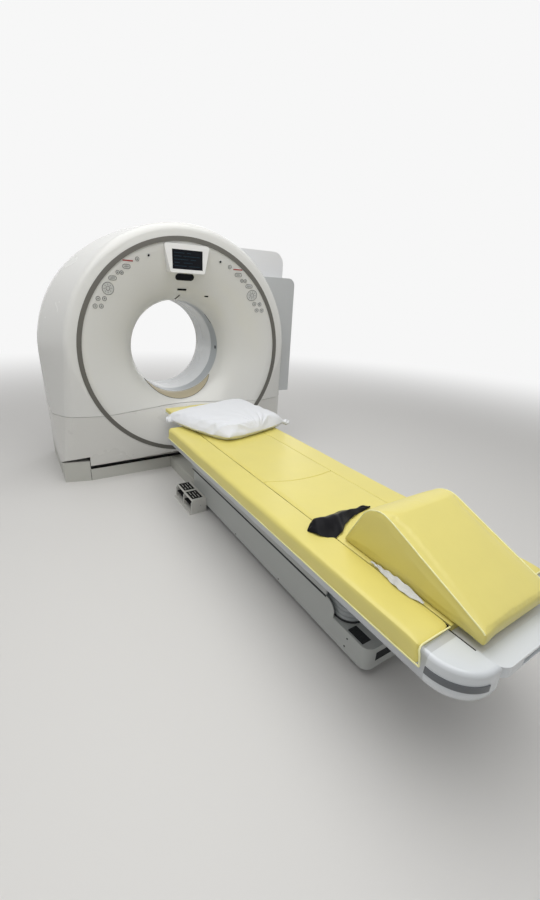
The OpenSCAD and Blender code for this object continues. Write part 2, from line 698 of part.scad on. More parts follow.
detector_in = focus_r + 450;
detector_t = 88;
fan_half_w = 440;
module detector_arc() color([0.45, 0.46, 0.49]) intersection() {
    translate([0, -70, isocentre_z + focus_r]) rotate([-90, 0, 0]) difference() {
        cylinder(r = detector_in + detector_t, h = 70 + drum_plate_y, $fn = 160);
        translate([0, 0, -1]) cylinder(r = detector_in, h = 72 + drum_plate_y, $fn = 160);
    }
    span([-fan_half_w, -100, isocentre_z - focus_r], [fan_half_w, 200, isocentre_z - focus_r / 2]);
}
weight_x = [drum_r - 240, drum_r - 80];
weight_t = 110;
weight_half_h = 150;
module counterweight() color([0.4, 0.41, 0.43])
    span([weight_x[0], drum_plate_y - weight_t, isocentre_z - weight_half_h],
        [weight_x[1], drum_plate_y, isocentre_z + weight_half_h]);
slip_ring_r = 540;
slip_ring_t = 20;
module slip_ring() color([0.72, 0.6, 0.36]) about_bore() difference() {
    translate([0, 0, hub_back]) cylinder(r = slip_ring_r, h = slip_ring_t);
    translate([0, 0, hub_back - 1]) cylinder(r = hub_r + 2, h = slip_ring_t + 2);
}
module brush_block() color([0.2, 0.2, 0.22]) difference() {
    span([-50, frame_back, isocentre_z - slip_ring_r - 70], [50, hub_back + slip_ring_t, isocentre_z - 500]);
    about_bore() translate([0, 0, frame_back - 1]) cylinder(r = slip_ring_r + 0.5, h = 100);
}

// A box with rounded upright edges, drawn with exact arcs
module rounded_plan(half_w, y_low, y_high, r) {
    translate([-half_w + r, y_low]) square([2 * (half_w - r), y_high - y_low]);
    translate([-half_w, y_low + r]) square([2 * half_w, y_high - y_low - 2 * r]);
    for (x = [-half_w + r, half_w - r], y = [y_low + r, y_high - r]) translate([x, y]) circle(r, $fn = 48);
}

// Floor duct for the cables between the gantry and the table
duct_half_w = 150;
duct_h = 98;
module floor_duct() color([0.74, 0.73, 0.69]) difference() {
    span([-duct_half_w, -pedestal_head + fit, 0], [duct_half_w, -plinth_front - fit, duct_h]);
    span([-duct_half_w + 4, -pedestal_head, -1], [duct_half_w - 4, -plinth_front, duct_h - 4]);
}

// Table base: floor plate with anchor holes, outer lift columns and brackets for the pedestal cover
base_plate_half_w = 150;
cover_t = 4;
table_anchor_x = 120;
table_anchor_y = 730;
table_mid = (pedestal_head + pedestal_foot) / 2;
module column(outer, wall, low, high) difference() {
    translate([-outer / 2, -outer / 2, low]) cube([outer, outer, high - low]);
    translate([-outer / 2 + wall, -outer / 2 + wall, low - 1]) cube([outer - 2 * wall, outer - 2 * wall,
        high - low + 2]);
}
base_plate_half_l = 830;
module table_base() color([0.3, 0.31, 0.33]) difference() {
    union() {
        span([-base_plate_half_w, -table_mid - base_plate_half_l, 0],
            [base_plate_half_w, -table_mid + base_plate_half_l, plate_t]);
        for (y = column_ys) translate([0, y, 0]) column(column_w, column_wall, plate_t - 1, 300);
        both_sides() for (y = [-700, 0, 700])
            span([base_plate_half_w - 10, -table_mid + y - 30, 0],
                [base_plate_half_w, -table_mid + y + 30, 110]);
        both_sides() for (y = [-700, 0, 700])
            span([base_plate_half_w - 1, -table_mid + y - 30, 70],
                [pedestal_half_w - cover_t - fit, -table_mid + y + 30, 110]);
    }
    for (x = [-table_anchor_x, table_anchor_x], y = [-table_anchor_y, table_anchor_y])
        translate([x, -table_mid + y, -1]) cylinder(r = 7, h = plate_t + 2);
}

// Pedestal cover: side walls with a rounded step down to the low deck at the foot end
foot_corner_r = 42;
step_r = 60;
module pedestal_cover() color([0.78, 0.79, 0.78]) difference() {
    union() {
        difference() {
            translate([0, 0, pedestal_lift]) linear_extrude(pedestal_h - pedestal_lift)
                rounded_plan(pedestal_half_w, -pedestal_foot, -pedestal_head, foot_corner_r);
            translate([0, 0, pedestal_lift - 1]) linear_extrude(pedestal_h)
                rounded_plan(pedestal_half_w - cover_t, -pedestal_foot + cover_t, -pedestal_head - cover_t,
                    foot_corner_r - cover_t);
        }
        translate([0, 0, deck_h - cover_t]) linear_extrude(cover_t)
            rounded_plan(pedestal_half_w - 1, -pedestal_foot + 1, -pedestal_head - 1, foot_corner_r);
    }
    span([-140, -bellows_foot + 30, deck_h - 10], [140, -bellows_head - 30, deck_h + 10]);
    span([-300, -pedestal_foot - 10, deck_h], [300, -skirt_foot - step_r, pedestal_h + 10]);
    difference() {
        span([-300, -skirt_foot - step_r - 1, deck_h + 15], [300, -skirt_foot, pedestal_h + 10]);
        translate([-301, -skirt_foot, deck_h + 15]) rotate([0, 90, 0]) cylinder(r = step_r, h = 602);
    }
    span([-300, -skirt_foot - step_r - 1, deck_h], [300, -skirt_foot - step_r + 1, pedestal_h]);
}

// Middle lift columns, between the outer columns and the table frame's inner columns
middle_w = column_w - 2 * column_wall - 1;
inner_w = middle_w - 2 * column_wall - 1;
module middle_columns() color([0.7, 0.71, 0.73]) for (y = column_ys) translate([0, y, 0])
    column(middle_w, column_wall, plate_t + 10, 414);

// Bellows round the lift columns, folded in ribs
bellows_low = deck_h + fit;
bellows_high = frame_z - fit;
rib_h = (bellows_high - bellows_low) / (2 * bellows_ribs);
module bellows() color([0.62, 0.64, 0.66]) difference() {
    for (i = [0 : 2 * bellows_ribs - 1]) translate([0, 0, bellows_low + i * rib_h])
        linear_extrude(rib_h + (i < 2 * bellows_ribs - 1 ? 0.01 : 0))
            let (step = (i % 2) * 8)
                rounded_plan(bellows_half_w - step, -bellows_foot + step, -bellows_head - step, 70);
    translate([0, 0, bellows_low - 1]) linear_extrude(bellows_high)
        rounded_plan(bellows_half_w - 14, -bellows_foot + 14, -bellows_head - 14, 60);
}

// Foot switch beside the pedestal: a guard open to the left over two hinged pedals
switch_out = 300;
switch_in = pedestal_half_w + fit;
switch_y = [-1255, -955];
switch_h = 104;
switch_wall = 10;
pedal_pin_x = -232;
pedal_pin_z = 52;
pedal_pin_r = 4;
pedal_mid = (switch_y[0] + switch_y[1]) / 2;
module foot_switch() color([0.76, 0.76, 0.74]) difference() {
    union() {
        span([-switch_out, switch_y[0], 0], [-switch_in, switch_y[1], switch_h]);
        span([-switch_out - 14, switch_y[0] - 4, 0], [-switch_in, switch_y[1] + 4, 10]);
    }
    for (y = [switch_y[0] + switch_wall, pedal_mid + switch_wall / 2])
        span([-switch_out - 1, y, 12], [-210, y + (switch_y[1] - switch_y[0] - 3 * switch_wall) / 2,
            switch_h - switch_wall]);
    translate([pedal_pin_x, switch_y[0] - 10, pedal_pin_z]) rotate([-90, 0, 0])
        cylinder(r = pedal_pin_r + 0.05, h = 320);
    translate([-switch_out - 50, switch_y[0] - 5, switch_h - 30]) rotate([0, 30, 0])
        cube([40, 400, 90]);
}
pedal_w = (switch_y[1] - switch_y[0] - 3 * switch_wall) / 2 - 2;
module pedal(y) color([0.1, 0.1, 0.11]) {
    span([-switch_out + 6, y - pedal_w / 2, pedal_pin_z - 4],
        [pedal_pin_x, y + pedal_w / 2, pedal_pin_z + 4]);
    translate([pedal_pin_x, y - pedal_w / 2, pedal_pin_z]) rotate([-90, 0, 0])
        cylinder(r = 8, h = pedal_w);
    translate([pedal_pin_x, y - pedal_w / 2 - 4, pedal_pin_z]) rotate([-90, 0, 0])
        cylinder(r = pedal_pin_r, h = pedal_w + 8);
    for (i = [0 : 4]) span([-switch_out + 10 + i * 10, y - pedal_w / 2 + 6, pedal_pin_z + 3],
        [-switch_out + 14 + i * 10, y + pedal_w / 2 - 6, pedal_pin_z + 6]);
}
pedal_step = (switch_y[1] - switch_y[0] - switch_wall) / 4;
module pedal_raise() pedal(pedal_mid + pedal_step);
module pedal_lower() pedal(pedal_mid - pedal_step);

// Table frame: a long box on the inner columns, with bars out to the rails and glides under the cradle
glide_ys = [-(rail_head + 70), -1700, -2350, -(rail_foot - 180)];
frame_foot = rail_foot - 50;
module table_frame() color([0.4, 0.41, 0.43]) {
    difference() {
        span([-frame_half_w, -frame_foot, frame_z], [frame_half_w, -rail_head, frame_z + frame_h]);
        for (y = [-(frame_foot - 90), -2600, -1980, -1690, -(rail_head + 190)])
            span([-frame_half_w + 12, y - 70, frame_z - 1],
                [frame_half_w - 12, y + 70, frame_z + frame_h + 1]);
    }
    for (y = column_ys) translate([0, y, 0]) column(inner_w, column_wall, plate_t + 26, frame_z + 1);
    for (y = glide_ys) {
        span([-rail_in + fit, y - 30, frame_z + frame_h - 10], [rail_in - fit, y + 30, frame_z + frame_h]);
        both_sides() span([110, y - 30, frame_z + frame_h], [150, y + 30, cradle_z - fit]);
    }
}

// Side skirts that hang from the table frame over the bellows
module lift_skirts() color([0.8, 0.81, 0.81]) both_sides()
    span([frame_half_w + fit, -skirt_foot, pedestal_h + 3], [pedestal_half_w, -pedestal_head - 4,
        frame_z + frame_h - 10 - fit]);

// Rails: extrusions with a rounded outer edge, in the plane across the table
rail_out = table_half_w - 8;
rail_top = pad_top_z - 16;
function arc(x, z, r, from, to, n = 6) = [for (i = [0 : n]) let (a = from + (to - from) * i / n)
    [x + r * cos(a), z + r * sin(a)]];
function rail_points(inset) = concat([[rail_in + inset, rail_z + inset]],
    arc(rail_out - rail_edge_r, rail_z + rail_edge_r, rail_edge_r - inset, -90, 0),
    arc(rail_out - 16, rail_top - 16, 16 - inset, 0, 90, 4), [[rail_in + inset, rail_top - inset]]);
module along_y(from, to) translate([0, to, 0]) rotate([90, 0, 0]) linear_extrude(to - from) children();
module table_rails() color([0.78, 0.8, 0.82]) both_sides() difference() {
    along_y(-rail_foot, -rail_head) polygon(rail_points(0));
    along_y(-rail_foot - 1, -rail_head + 1) polygon(rail_points(5));
}
end_corner_r = 45;
module rail_noses() color([0.86, 0.88, 0.9]) both_sides() difference() {
    union() {
        translate([rail_in, -rail_foot, 0]) rotate([0, 0, -90])
            rotate_extrude(angle = 90) polygon([for (p = rail_points(0)) [p[0] - rail_in, p[1]]]);
        translate([rail_in + 1, -rail_foot, 0]) rotate([90, 0, -90]) linear_extrude(45)
            intersection() {
                polygon([for (p = rail_points(0)) [p[0] - rail_in, p[1]]]);
                translate([60, 0]) square([200, 1000]);
            }
    }
    translate([cradle_half_w - 4 - end_corner_r, -cradle_foot - cradle_end_l + end_corner_r, 0])
        cylinder(r = end_corner_r + 6, h = 1000);
    span([0, -cradle_foot - cradle_end_l + end_corner_r, 0], [cradle_half_w + 2, 0, 1000]);
}
inlay_z = rail_z + 58;
module nose_inlays() color([0.38, 0.4, 0.42]) both_sides() translate([rail_in, -rail_foot, 0])
    rotate([0, 0, -80]) rotate_extrude(angle = 80)
        translate([rail_out - rail_in + fit, inlay_z]) square([2.5, 24]);

// Yellow side pads over the rails, with a drape down the outside
drape_z = pad_top_z - 71;
module side_pads() color([0.88, 0.83, 0.47]) both_sides() along_y(-rail_foot + 5, -rail_head + 6)
    polygon(concat([[cradle_half_w + 3, pad_top_z]], [[cradle_half_w + 3, rail_top + fit]],
        arc(rail_out - 16, rail_top - 16, 16 + fit, 90, 0, 4),
        [[rail_out + fit, drape_z], [table_half_w, drape_z]],
        arc(table_half_w - 24, pad_top_z - 24, 24, 0, 90, 4)));

// Cradle: a shallow tray that slides on the glides, its end piece with a hand grip, and the pad
cradle_bottom = cradle_z;
module cradle() color([0.82, 0.83, 0.82]) difference() {
    along_y(-cradle_foot, -cradle_head) polygon(concat([[-cradle_half_w, pad_top_z - pad_t]],
        [[-cradle_half_w, cradle_bottom + 20], [-188, cradle_bottom + 6], [-165, cradle_bottom],
            [165, cradle_bottom], [188, cradle_bottom + 6], [cradle_half_w, cradle_bottom + 20]],
        [[cradle_half_w, pad_top_z - pad_t]]));
    span([-60, -cradle_foot - 1, cradle_bottom + 8], [60, -cradle_foot + 200, cradle_bottom + 22]);
}
grip_half_w = 95;
module cradle_end() color([0.86, 0.87, 0.88]) difference() {
    translate([0, 0, cradle_bottom]) linear_extrude(pad_top_z - pad_t - cradle_bottom + 4)
        intersection() {
            rounded_plan(cradle_half_w - 4, -cradle_foot - cradle_end_l, -cradle_foot + end_corner_r,
                end_corner_r);
            translate([-cradle_half_w, -cradle_foot - cradle_end_l]) square([2 * cradle_half_w,
                cradle_end_l - fit]);
        }
    span([-grip_half_w, -cradle_foot - cradle_end_l - 1, cradle_bottom + 5],
        [grip_half_w, -cradle_foot - 30, cradle_bottom + 28]);
}
module table_pad() color([0.88, 0.83, 0.47]) translate([0, 0, pad_top_z - pad_t + fit])
    linear_extrude(pad_t - fit) rounded_plan(cradle_half_w - 3, -cradle_foot + 20, -cradle_head - 2, 20);

// Leg wedge: a foam block with a round crest and a long slope to the foot
wedge_half_w = 195;
wedge_head = -2600;
wedge_foot = -3204;
crest_r = 105;
crest_y = -2770;
wedge_low = pad_top_z + fit;
module leg_wedge() color([0.87, 0.84, 0.5]) translate([-wedge_half_w, 0, 0]) rotate([90, 0, 90])
    linear_extrude(2 * wedge_half_w) polygon(concat([[wedge_head, wedge_low]],
        arc(crest_y, wedge_low + crest_r, crest_r, 35, 112, 8),
        [[wedge_foot + 12, wedge_low + 46], [wedge_foot, wedge_low + 34], [wedge_foot, wedge_low]]));

// Pillow: a soft square with drawn-out corners, lying askew at the head end
pillow_half = [325, 335];
pillow_h = 118;
pillow_at = [95, -(rail_head + 72)];
pillow_turn = 17;
module pillow() color([0.93, 0.93, 0.92]) translate([pillow_at[0], pillow_at[1], pad_top_z + fit])
    rotate(pillow_turn) hull() {
        for (x = [-1, 1], y = [-1, 1]) translate([x * pillow_half[0], y * pillow_half[1], 20])
            sphere(14, $fn = 12);
        for (x = [-0.45, 0.45], y = [-0.45, 0.45])
            translate([x * pillow_half[0], y * pillow_half[1], pillow_h / 2])
                scale([2.1, 2.1, 1]) sphere(pillow_h / 2, $fn = 20);
        translate([0, 0, 5]) cube([1.4 * pillow_half[0], 1.4 * pillow_half[1], 10], center = true);
    }

// Folded black body strap across the pad, and the loose grey tail beside the wedge
strap_low = pad_top_z + fit;
// Each fold of the strap: its place, radius and height
strap_folds = [[-290, -2500, 20, 8], [-150, -2520, 55, 12], [-120, -2500, 30, 42], [90, -2440, 12, 10]];
module body_strap() color([0.08, 0.08, 0.09]) hull() for (fold = strap_folds)
    translate([fold[0], fold[1], strap_low]) cylinder(r = fold[2], h = fold[3], $fn = 16);
tail_end = [-240, -3010];
tail_start = [-204, -2770];
tail_t = 8;
module strap_tail() color([0.75, 0.76, 0.76])
    span([tail_end[0], tail_end[1], strap_low], [tail_start[0], tail_start[1], strap_low + tail_t]);

base_frame();
plinth_covers();
base_covers();
tilt_stands();
tilt_bearings();
tilt_motor();
tilt_pinion();
tilt_frame();
tilt_sector();
bearing_outer();
front_cover_upper();
front_cover_lower();
trim_ring();
bore_liner_front();
scan_window();
bore_liner_rear();
bore_sill();
rear_cover();
roof_housing();
right_cabinet();
display_pod();
display_screen();
sensor_window();
laser_windows();
control_keys();
beam_lamps();
intercoms();
drive_motor();
drive_belt();
brush_block();
rotor_drum();
bearing_inner();
tube_housing();
collimator();
high_voltage_tank();
detector_arc();
counterweight();
slip_ring();
motor_pulley();
floor_duct();
table_base();
pedestal_cover();
middle_columns();
bellows();
foot_switch();
pedal_raise();
pedal_lower();
table_frame();
lift_skirts();
table_rails();
rail_noses();
nose_inlays();
side_pads();
cradle();
cradle_end();
table_pad();
leg_wedge();
pillow();
body_strap();
strap_tail();
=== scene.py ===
# Blender 4.5 scene of a CT scanner: a tilting gantry on a low base, and a lifting patient table.
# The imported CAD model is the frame; this script adds finishes, soft goods and fine parts to it.
# Lengths are in metres. The origin is on the floor under the isocentre, +Y runs into the bore.
import math

import bmesh
import bpy
from mathutils import Matrix, Vector, noise


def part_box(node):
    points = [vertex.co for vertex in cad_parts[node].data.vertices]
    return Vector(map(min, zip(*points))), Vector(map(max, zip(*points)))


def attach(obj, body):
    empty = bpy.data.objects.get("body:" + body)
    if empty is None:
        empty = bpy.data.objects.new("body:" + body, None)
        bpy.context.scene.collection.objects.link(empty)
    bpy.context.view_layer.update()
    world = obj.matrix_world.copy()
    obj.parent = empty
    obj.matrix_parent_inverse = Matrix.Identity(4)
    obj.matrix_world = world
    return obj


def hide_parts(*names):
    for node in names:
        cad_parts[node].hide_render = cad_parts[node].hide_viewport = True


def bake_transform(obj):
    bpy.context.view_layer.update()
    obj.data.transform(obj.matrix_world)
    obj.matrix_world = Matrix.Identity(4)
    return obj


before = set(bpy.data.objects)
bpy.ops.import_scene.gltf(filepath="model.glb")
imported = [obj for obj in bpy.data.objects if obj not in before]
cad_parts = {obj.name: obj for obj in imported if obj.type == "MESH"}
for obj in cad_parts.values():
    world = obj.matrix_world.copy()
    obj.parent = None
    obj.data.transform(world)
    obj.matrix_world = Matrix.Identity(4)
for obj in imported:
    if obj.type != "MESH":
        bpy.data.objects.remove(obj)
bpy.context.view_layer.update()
scene = bpy.context.scene

# ---------------------------------------------------------------- camera
# The phone camera stood beside the table at head height. Its place and lens were solved
# from the ring, the rails and the pedestal in the photograph.
eye = Vector((-1.2016, -3.5785, 1.4588))
eye_right = Vector((0.8452, -0.5322, 0.0493))
eye_up = Vector((0.1543, 0.3313, 0.9308))
eye_back = Vector((-0.5117, -0.7791, 0.3622))
camera_data = bpy.data.cameras.new("camera")
camera_data.sensor_fit = "AUTO"
camera_data.sensor_width = 36.0
camera_data.lens = 16.074
camera_data.clip_end = 60.0
camera = bpy.data.objects.new("camera", camera_data)
turned = Matrix((eye_right, eye_up, eye_back)).transposed().to_4x4()
camera.matrix_world = Matrix.Translation(eye) @ turned
scene.collection.objects.link(camera)
scene.camera = camera
scene.view_settings.view_transform = "Standard"


# ---------------------------------------------------------------- room
# A plain pale floor that fades into a white surround, and soft lamps like ceiling panels.
# The lamps give a colour about its written brightness and stay out of every picture.
def nodes_of(material):
    """The node tree of a new node material, with its shader."""
    material.use_nodes = True
    tree = material.node_tree
    return tree, tree.nodes["Principled BSDF"]


def add_node(tree, kind, links=(), **settings):
    """A node with settings on it and its input sockets; links are (input, output socket) pairs."""
    made = tree.nodes.new(kind)
    for name, value in settings.items():
        if hasattr(made, name):
            setattr(made, name, value)
        else:
            made.inputs[name.replace("_", " ")].default_value = value
    for socket, source in links:
        tree.links.new(source, made.inputs[socket])
    return made


FLOOR_HALF = 14.0
HAZE_START, HAZE_END = 3.2, 8.5
SURROUND = 0.93
floor_mesh = bmesh.new()
bmesh.ops.create_grid(floor_mesh, x_segments=4, y_segments=4, size=FLOOR_HALF)
floor_data = bpy.data.meshes.new("floor")
floor_mesh.to_mesh(floor_data)
floor_mesh.free()
floor = bpy.data.objects.new("floor", floor_data)
scene.collection.objects.link(floor)
floor_material = bpy.data.materials.new("pale_floor")
tree, shader = nodes_of(floor_material)
shader.inputs["Base Color"].default_value = (0.70, 0.69, 0.67, 1)
shader.inputs["Roughness"].default_value = 0.55
place = add_node(tree, "ShaderNodeTexCoord")
centred = add_node(tree, "ShaderNodeMapping", [("Vector", place.outputs["Object"])])
centred.inputs["Location"].default_value = (0, 1.4, 0)
reach = add_node(tree, "ShaderNodeVectorMath", [(0, centred.outputs[0])], operation="LENGTH")
far = add_node(tree, "ShaderNodeMapRange", [("Value", reach.outputs["Value"])],
               interpolation_type="SMOOTHSTEP", From_Min=HAZE_START, From_Max=HAZE_END)
rays = add_node(tree, "ShaderNodeLightPath")
fade = add_node(tree, "ShaderNodeMath", [(0, far.outputs[0]), (1, rays.outputs["Is Camera Ray"])],
                operation="MULTIPLY")
haze = add_node(tree, "ShaderNodeEmission", Color=(SURROUND, SURROUND, SURROUND, 1), Strength=1.0)
blend = add_node(tree, "ShaderNodeMixShader", [(0, fade.outputs[0]), (1, shader.outputs[0]),
                                               (2, haze.outputs[0])])
tree.links.new(blend.outputs[0], tree.nodes["Material Output"].inputs["Surface"])
floor.data.materials.append(floor_material)

world = bpy.data.worlds.new("surround")
scene.world = world
world.use_nodes = True
tree = world.node_tree
rays = add_node(tree, "ShaderNodeLightPath")
seen = add_node(tree, "ShaderNodeMath", [(0, rays.outputs["Is Camera Ray"]),
                                         (1, rays.outputs["Is Transmission Ray"])], operation="MAXIMUM")
mirrored = add_node(tree, "ShaderNodeMath", [(0, seen.outputs[0]), (1, rays.outputs["Is Glossy Ray"])],
                    operation="MAXIMUM")
heading = add_node(tree, "ShaderNodeTexCoord")
split = add_node(tree, "ShaderNodeSeparateXYZ", [("Vector", heading.outputs["Generated"])])
dome = add_node(tree, "ShaderNodeMapRange", [("Value", split.outputs["Z"])],
                From_Min=-0.1, From_Max=0.9, To_Min=0.13, To_Max=0.50)
level = add_node(tree, "ShaderNodeMix", [("Factor", mirrored.outputs[0]), ("A", dome.outputs[0])],
                 B=SURROUND)
tree.links.new(level.outputs[0], tree.nodes["Background"].inputs["Strength"])
tree.nodes["Background"].inputs["Color"].default_value = (1, 1, 1, 1)


def lamp(name, place, aim, width, length, watts):
    """A soft panel lamp that no picture sees."""
    data = bpy.data.lights.new(name, "AREA")
    data.shape = "RECTANGLE"
    data.size = width
    data.size_y = length
    data.energy = watts
    made = bpy.data.objects.new(name, data)
    made.location = place
    made.rotation_euler = (Vector(aim) - Vector(place)).to_track_quat("-Z", "Y").to_euler()
    made.visible_camera = False
    scene.collection.objects.link(made)


lamp("ceiling_panel", place=(-0.6, -2.2, 3.6), aim=(-0.3, -1.6, 0), width=3.6, length=4.4, watts=96)
lamp("front_panel", place=(-3.6, -4.6, 2.6), aim=(0, -0.6, 0.8), width=2.4, length=2.4, watts=6)
lamp("back_panel", place=(2.6, 3.4, 3.0), aim=(0, 0.4, 0.9), width=2.6, length=2.6, watts=30)


# ---------------------------------------------------------------- gantry shells
# Moulded covers of sprayed plastic, off-white and glossy, with a faint orange peel.
# Each shows as a merged copy of its CAD node, so that the curves shade smoothly.
def finish(name, colour, rough, metallic=0.0, mottle=0.05, mottle_size=0.5, grain=0.0,
           grain_size=0.002, stretch=(1, 1, 1), coat=0.0, specular=0.5, sheen=0.0):
    """A worked finish: patchy colour and gloss at mottle_size, and a fine bump of grain_size."""
    material = bpy.data.materials.new(name)
    tree, shader = nodes_of(material)
    place = add_node(tree, "ShaderNodeTexCoord")
    scaled = add_node(tree, "ShaderNodeMapping", [("Vector", place.outputs["Object"])])
    scaled.inputs["Scale"].default_value = stretch
    patches = add_node(tree, "ShaderNodeTexNoise", [("Vector", scaled.outputs[0])],
                       Scale=1 / mottle_size, Detail=4.0, Roughness=0.6)
    light = [min(1, c * (1 + mottle)) for c in colour] + [1]
    dark = [c * (1 - mottle) for c in colour] + [1]
    tones = add_node(tree, "ShaderNodeMix", [("Factor", patches.outputs["Fac"])], data_type="RGBA")
    tones.inputs[6].default_value = dark
    tones.inputs[7].default_value = light
    tree.links.new(tones.outputs[2], shader.inputs["Base Color"])
    gloss = add_node(tree, "ShaderNodeMapRange", [("Value", patches.outputs["Fac"])],
                     To_Min=rough * 0.85, To_Max=min(1, rough * 1.15))
    tree.links.new(gloss.outputs[0], shader.inputs["Roughness"])
    if grain:
        pores = add_node(tree, "ShaderNodeTexNoise", [("Vector", scaled.outputs[0])],
                         Scale=1 / grain_size, Detail=3.0)
        relief = add_node(tree, "ShaderNodeBump", [("Height", pores.outputs["Fac"])],
                          Strength=grain, Distance=grain_size * 0.4)
        tree.links.new(relief.outputs[0], shader.inputs["Normal"])
    shader.inputs["Metallic"].default_value = metallic
    shader.inputs["Coat Weight"].default_value = coat
    shader.inputs["Coat Roughness"].default_value = 0.12
    shader.inputs["Specular IOR Level"].default_value = specular
    shader.inputs["Sheen Weight"].default_value = sheen
    return material


def dress(material, *names):
    """Gives CAD nodes a material."""
    for name in names:
        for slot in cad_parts[name].material_slots:
            slot.material = material


def add_piece(name, mesh, body, material):
    """A new piece from a bmesh or a mesh, riding on a body when one is given, with one material for its
    finish.
    """
    if isinstance(mesh, bmesh.types.BMesh):
        data = bpy.data.meshes.new(name)
        mesh.to_mesh(data)
        mesh.free()
    else:
        data = mesh
        data.name = name
    data.materials.clear()
    data.materials.append(material)
    made = bpy.data.objects.new(name, data)
    scene.collection.objects.link(made)
    if body:
        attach(made, body)
    return made


def smooth_faces(mesh, sharp=32):
    """Smooth shading with creases where the faces meet at more than sharp degrees."""
    for face in mesh.faces:
        face.smooth = True
    for edge in mesh.edges:
        edge.smooth = len(edge.link_faces) == 2 and edge.calc_face_angle(0) < math.radians(sharp)


MERGE_GAP = 1e-4
FLAT_WITHIN = math.radians(0.05)


def smooth_copy(node, body, material, sharp=32):
    """A merged, smooth-shaded copy of a CAD node, shown in its place."""
    mesh = bmesh.new()
    mesh.from_mesh(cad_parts[node].data)
    bmesh.ops.remove_doubles(mesh, verts=mesh.verts, dist=MERGE_GAP)
    bmesh.ops.dissolve_limit(mesh, angle_limit=FLAT_WITHIN, verts=mesh.verts, edges=mesh.edges,
                             use_dissolve_boundaries=False, delimit=set())
    smooth_faces(mesh, sharp)
    made = add_piece(node + "_skin", mesh, body, material)
    weighted = made.modifiers.new("even_shading", "WEIGHTED_NORMAL")
    weighted.keep_sharp = True
    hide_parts(node)
    return made


orange_peel = {"mottle": 0.02, "grain": 0.12, "grain_size": 0.0016}
shell_white = finish("shell_white", (0.74, 0.74, 0.715), 0.26, coat=0.3, **orange_peel)
shell_lower = finish("shell_lower_white", (0.70, 0.695, 0.665), 0.28, coat=0.25, **orange_peel)
roof_white = finish("roof_white", (0.78, 0.785, 0.79), 0.3, coat=0.2, **orange_peel)
cabinet_grey = finish("cabinet_grey", (0.52, 0.535, 0.54), 0.34, mottle=0.025, grain=0.2,
                      grain_size=0.0012)
smooth_copy("front_cover_upper", "gantry", shell_white)
smooth_copy("front_cover_lower", "gantry", shell_lower, 16)
smooth_copy("rear_cover", "gantry", shell_white)
smooth_copy("roof_housing", "gantry", roof_white)
smooth_copy("right_cabinet", "gantry", cabinet_grey)

# ---------------------------------------------------------------- trim ring and bore
# A dark taupe ring of moulded rubbery plastic is let into the face round the funnel.
# The bore has a grey front liner with small dark windows, a pale scan window, a white rear
# liner and a tan sill.
trim_taupe = finish("trim_taupe", (0.13, 0.125, 0.11), 0.38, mottle=0.05, grain=0.25, grain_size=0.0012)
liner_grey = finish("liner_grey", (0.40, 0.43, 0.45), 0.33, mottle=0.03, grain=0.1, grain_size=0.0015)
liner_white = finish("liner_white", (0.86, 0.875, 0.885), 0.3, mottle=0.02, grain=0.1, grain_size=0.0015)
window_pale = finish("window_pale", (0.80, 0.82, 0.83), 0.25, mottle=0.02, grain=0.04, coat=0.3)
sill_tan = finish("sill_tan", (0.50, 0.44, 0.31), 0.42, mottle=0.05, grain=0.3, grain_size=0.0014)
smooth_copy("trim_ring", "gantry", trim_taupe)
smooth_copy("bore_liner_front", "gantry", liner_grey)
smooth_copy("scan_window", "gantry", window_pale)
smooth_copy("bore_liner_rear", "gantry", liner_white)
smooth_copy("bore_sill", "gantry", sill_tan)
smoked_black = finish("smoked_black", (0.006, 0.007, 0.010), 0.22, mottle=0.1, specular=0.1)
BORE_Z = 1.0
BORE_R = 0.3752
WINDOW_DEEP = 0.0022
slits = [(turn, -0.214, 0.010, 0.024) for turn in (33, 36.5, 40, 43.5)]
windows = bmesh.new()
for turn, y, wide, tall in slits + [(-2, -0.190, 0.024, 0.026)]:
    place = Matrix.Translation((0, 0, BORE_Z)) @ Matrix.Rotation(math.radians(-turn), 4, "Y")
    inset = Matrix.LocRotScale((BORE_R, y, 0), None, (WINDOW_DEEP, wide, tall))
    bmesh.ops.create_cube(windows, size=1, matrix=place @ inset)
add_piece("liner_windows", windows, "gantry", smoked_black)

# ---------------------------------------------------------------- display, sensor and lamps
# The display sits in a moulded pod over the bore, with dim rows of readings. The sensor and the
# laser slots are smoked plastic let into the funnel, and the beam lamps are red lenses.
pod_white = finish("pod_white", (0.83, 0.83, 0.82), 0.3, mottle=0.02, grain=0.12, grain_size=0.0014,
                   coat=0.2)
lens_red = finish("lens_red", (0.38, 0.02, 0.02), 0.3, mottle=0.06, coat=0.5)
smooth_copy("display_pod", "gantry", pod_white, 25)
dress(smoked_black, "display_screen", "sensor_window", "laser_windows", "intercoms")
dress(lens_red, "beam_lamps")


def bar(mesh, low, high, edge=0.0, flip=(1, 1)):
    """A box between two corners added to a bmesh, its edges rounded by edge; flip mirrors x or y."""
    low, high = Vector(low), Vector(high)
    for axis, sign in enumerate(flip):
        if sign < 0:
            low[axis], high[axis] = -high[axis], -low[axis]
    place = Matrix.LocRotScale((low + high) / 2, None, high - low)
    made = bmesh.ops.create_cube(mesh, size=1, matrix=place)
    if edge:
        edges = {line for point in made["verts"] for line in point.link_edges}
        bmesh.ops.bevel(mesh, geom=list(edges), offset=edge, segments=2, profile=0.5,
                        affect="EDGES", material=-1)


